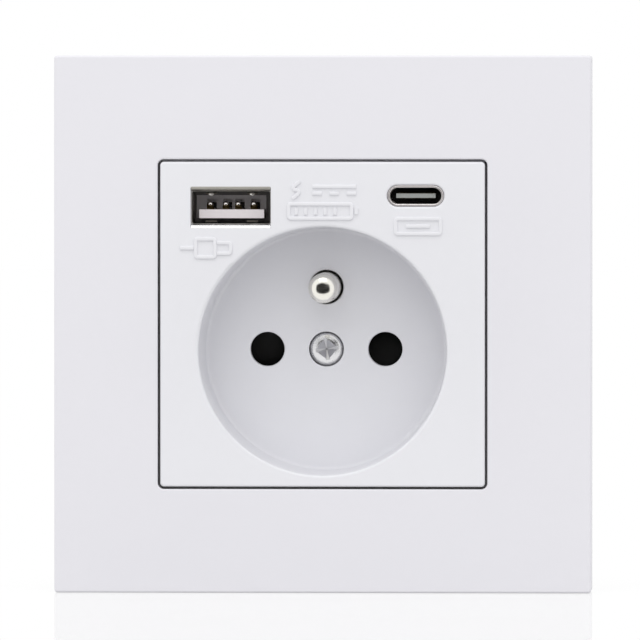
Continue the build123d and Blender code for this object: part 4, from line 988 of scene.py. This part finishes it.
centre_screw = cross_screw(CENTRE_SCREW, CENTRE_CROSS)
centre_turn = Matrix.Rotation(radians(CENTRE_TURN_DEG), 4, "Z")
to_recess = Matrix.Translation([MM * v for v in CENTRE_SEAT]) @ FRONTWARD
centre_screw.transform(to_recess @ centre_turn)
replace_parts(socket_piece("centre_screw_threaded", centre_screw), "centre_screw")


# Dimples where a plug touches the larger port's contacts and its shell's fingers

def ball():
    """Closed ball round the origin, of radius 1."""
    rows = [[(0, 0, 1)]]
    for step in range(1, BALL_STEPS):
        turn = pi * step / BALL_STEPS
        rows.append(ring(sin(turn), cos(turn)))
    rows.append([(0, 0, -1)])
    return ring_mesh(rows)


def press_dimples(name, size, row, place):
    """Row of polished dimples across the port."""
    dimple = as_mesh(name, ball())
    dimple.transform(Matrix.Diagonal((*size, 1.0)) * MM)
    seats = [((x, *place), (0, 0, 1)) for x in row]
    socket_piece(name, spread_out(name, dimple, seats, POLISHED_DIMPLE))


press_dimples("contact_dimples", CONTACT_DIMPLE, CONTACT_DIMPLE_ROW, CONTACT_DIMPLE_PLACE)
press_dimples("finger_dimples", FINGER_DIMPLE, FINGER_DIMPLE_ROW, FINGER_DIMPLE_PLACE)


# Flared lips of the larger port's shell, over the slopes of its window

def port_lip(name, side, lip_depth, turn_deg, finish):
    """Rolled lip across the port's mouth, above it for side 1 or below it for side -1."""
    low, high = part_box("usb_a_shell")
    front = cad_low.y
    edge = (high.z if side > 0 else low.z) - side * SHELL_COVER
    full_turn = radians(turn_deg)
    section = []
    for step in range(LIP_STEPS + 1):
        turn = full_turn * step / LIP_STEPS
        depth = lip_depth * (1 - sin(turn) / sin(full_turn))
        rise = LIP_HEIGHT * (1 - cos(turn)) / (1 - cos(full_turn))
        section.append((front + depth, edge + side * rise))
    for depth in (LIP_SEAT, lip_depth):
        rise = LIP_HEIGHT * (1 - depth / MOUTH_DEPTH) + LIP_SEAT
        section.append((front + depth, edge + side * rise))
    if side > 0:
        section.reverse()
    ends = [[(x, y, z) for y, z in section] for x in (low.x + SHELL_COVER, high.x - SHELL_COVER)]
    lip = as_mesh(name, prism(*ends))
    lip.materials.append(finish)
    socket_piece(name, lip)


port_lip("upper_port_lip", 1, UPPER_LIP_DEPTH, UPPER_LIP_TURN_DEG, SHADED_LIP)
port_lip("lower_port_lip", -1, LOWER_LIP_DEPTH, LOWER_LIP_TURN_DEG, LIT_LIP)


# Rolled rim on the front edge of the smaller port's shell

def port_rim(name, finish):
    """Rounded bead along the shell's front edge."""
    low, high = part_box("usb_c_shell")
    inset = RIM_WIDTH / 2 - RIM_REACH
    left, right = (low.x + inset) / MM, (high.x - inset) / MM
    bottom, top = (low.z + inset) / MM, (high.z - inset) / MM
    line = sign_lines(name, [((0, 0), [frame_stroke(left, bottom, right, top)])])
    sizes = {"Width": RIM_WIDTH, "Rise": RIM_RISE, "Round": RIM_ROUND}
    corner = (top - bottom) / 2 * MM * RIM_CORNER
    rim = grown(name, line, RIB, {**sizes, "Corner": corner, "Finish": finish})
    rim.transform(Matrix.Translation((0, low.y, 0)) @ FRONTWARD)
    rim.shade_smooth()
    socket_piece(name, rim)


port_rim("small_port_rim", PORT_RIM)


# Light, floor and camera

def light_path_white(tree):
    """1 for rays that should see the white background: camera, glossy and transmitted ones."""
    path = tree.nodes.new("ShaderNodeLightPath")
    seen = math_node(tree, "MAXIMUM", path.outputs["Is Camera Ray"], path.outputs["Is Glossy Ray"])
    return math_node(tree, "MAXIMUM", seen, path.outputs["Is Transmission Ray"])


def studio_world():
    """White surroundings to the eye, and an even soft light on the object."""
    world = bpy.data.worlds.new("studio")
    world.use_nodes = True
    tree = world.node_tree
    ambient = tree.nodes["Background"]
    ambient.inputs["Strength"].default_value = AMBIENT
    ambient.inputs["Color"].default_value = WHITE
    white = tree.nodes.new("ShaderNodeBackground")
    mix = tree.nodes.new("ShaderNodeMixShader")
    white.inputs["Color"].default_value = WHITE
    tree.links.new(light_path_white(tree), mix.inputs["Fac"])
    tree.links.new(ambient.outputs[0], mix.inputs[1])
    tree.links.new(white.outputs[0], mix.inputs[2])
    tree.links.new(mix.outputs[0], tree.nodes["World Output"].inputs["Surface"])
    bpy.context.scene.world = world


def stage_plane(name, size, place, facing):
    """Flat stage piece with its place in its mesh."""
    mesh = bpy.data.meshes.new(name)
    sheet = bmesh.new()
    bmesh.ops.create_grid(sheet, x_segments=1, y_segments=1, size=0.5)
    bmesh.ops.scale(sheet, vec=(*size, 1.0), verts=sheet.verts)
    turn = Vector(facing).to_track_quat("Z", "Y").to_matrix().to_4x4()
    bmesh.ops.transform(sheet, matrix=Matrix.Translation(place) @ turn, verts=sheet.verts)
    sheet.to_mesh(mesh)
    sheet.free()
    plane = bpy.data.objects.new(name, mesh)
    bpy.context.scene.collection.objects.link(plane)
    return plane


def pale_floor():
    """White floor that keeps the shadow near the object and mirrors the plate faintly."""
    material, tree, shader = blank_material("pale_floor")
    tree.nodes.remove(shader)
    matt = tree.nodes.new("ShaderNodeBsdfDiffuse")
    tone = tree.nodes.new("ShaderNodeMix")
    tone.data_type = "RGBA"
    tone.inputs["A"].default_value = FLOOR_BOUNCE
    tone.inputs["B"].default_value = FLOOR_PALE
    tree.links.new(light_path_white(tree), tone.inputs["Factor"])
    tree.links.new(tone.outputs["Result"], matt.inputs["Color"])
    white = tree.nodes.new("ShaderNodeEmission")
    mirror = tree.nodes.new("ShaderNodeBsdfGlossy")
    mirror.inputs["Color"].default_value = WHITE
    mirror.inputs["Roughness"].default_value = 0.0
    span = tree.nodes.new("ShaderNodeVectorMath")
    span.operation = "LENGTH"
    tree.links.new(object_vector(tree), span.inputs[0])
    nearness = tree.nodes.new("ShaderNodeMapRange")
    nearness.inputs["From Min"].default_value = FLOOR_SHADOW_FROM
    nearness.inputs["From Max"].default_value = FLOOR_SHADOW_TO
    nearness.inputs["To Min"].default_value = 1.0 - FLOOR_MATT
    nearness.inputs["To Max"].default_value = 1.0
    tree.links.new(span.outputs["Value"], nearness.inputs["Value"])
    lit = tree.nodes.new("ShaderNodeMixShader")
    glow = math_node(tree, "MULTIPLY", light_path_white(tree), nearness.outputs[0])
    tree.links.new(glow, lit.inputs["Fac"])
    tree.links.new(matt.outputs[0], lit.inputs[1])
    tree.links.new(white.outputs[0], lit.inputs[2])
    seen = tree.nodes.new("ShaderNodeLightPath").outputs["Is Camera Ray"]
    polished = tree.nodes.new("ShaderNodeMixShader")
    tree.links.new(math_node(tree, "MULTIPLY", seen, FLOOR_MIRROR), polished.inputs["Fac"])
    tree.links.new(lit.outputs[0], polished.inputs[1])
    tree.links.new(mirror.outputs[0], polished.inputs[2])
    tree.links.new(polished.outputs[0], tree.nodes["Material Output"].inputs["Surface"])
    floor = stage_plane("pale_floor", FLOOR_SIZE, (0, 0, cad_low.z), (0, 0, 1))
    floor.data.materials.append(material)


def dark_flag():
    """Dark studio flag before the plate: plated metal shows it, and the floor's sharp mirror doesn't."""
    material, tree, shader = blank_material("dark_flag")
    shader.inputs["Base Color"].default_value = FLAG_TONE
    shader.inputs["Specular IOR Level"].default_value = 0.0
    clear = tree.nodes.new("ShaderNodeBsdfTransparent")
    mix = tree.nodes.new("ShaderNodeMixShader")
    sharp = tree.nodes.new("ShaderNodeLightPath").outputs["Is Singular Ray"]
    tree.links.new(sharp, mix.inputs["Fac"])
    tree.links.new(shader.outputs[0], mix.inputs[1])
    tree.links.new(clear.outputs[0], mix.inputs[2])
    tree.links.new(mix.outputs[0], tree.nodes["Material Output"].inputs["Surface"])
    flag = stage_plane("dark_flag", FLAG_SIZE, FLAG_PLACE, (0, 1, 0))
    flag.data.materials.append(material)
    flag.visible_camera = False
    flag.visible_diffuse = False
    flag.visible_shadow = False


def softbox(name, size, place, watts, mirrored=True):
    """Rectangular lamp aimed at the plate's middle; polished metal shows it where it is mirrored."""
    lamp = bpy.data.lights.new(name, "AREA")
    lamp.shape = "RECTANGLE"
    lamp.size, lamp.size_y = size
    lamp.energy = watts
    holder = bpy.data.objects.new(name, lamp)
    holder.location = place
    holder.rotation_euler = (-Vector(place)).to_track_quat("-Z", "Y").to_euler()
    holder.visible_glossy = mirrored
    bpy.context.scene.collection.objects.link(holder)


def photo_camera():
    """Long-lens camera at the photograph's angle, scale and framing."""
    lens = bpy.data.cameras.new("photo_camera")
    camera = bpy.data.objects.new("photo_camera", lens)
    bpy.context.scene.collection.objects.link(camera)
    right, above = radians(VIEW_RIGHT_DEG), radians(VIEW_ABOVE_DEG)
    back = Vector((sin(right) * cos(above), -cos(right) * cos(above), sin(above)))
    off_x = (PHOTO_PX / 2 - PLATE_MIDDLE_PX[0]) / PX_PER_MM * MM
    off_z = (PLATE_MIDDLE_PX[1] - PHOTO_PX / 2) / PX_PER_MM * MM
    aim = Vector((off_x, cad_low.y, off_z))
    camera.location = aim + back * VIEW_DISTANCE
    camera.rotation_euler = (-back).to_track_quat("-Z", "Y").to_euler()
    lens.sensor_width = SENSOR_MM
    lens.lens = SENSOR_MM * VIEW_DISTANCE / (PHOTO_PX / PX_PER_MM * MM)
    lens.clip_end = CAMERA_REACH
    bpy.context.scene.camera = camera


studio_world()
pale_floor()
dark_flag()
softbox("key_softbox", KEY_SIZE, KEY_PLACE, KEY_WATTS)
softbox("fill_softbox", FILL_SIZE, FILL_PLACE, FILL_WATTS, mirrored=False)
photo_camera()
bpy.context.scene.view_settings.view_transform = "Standard"
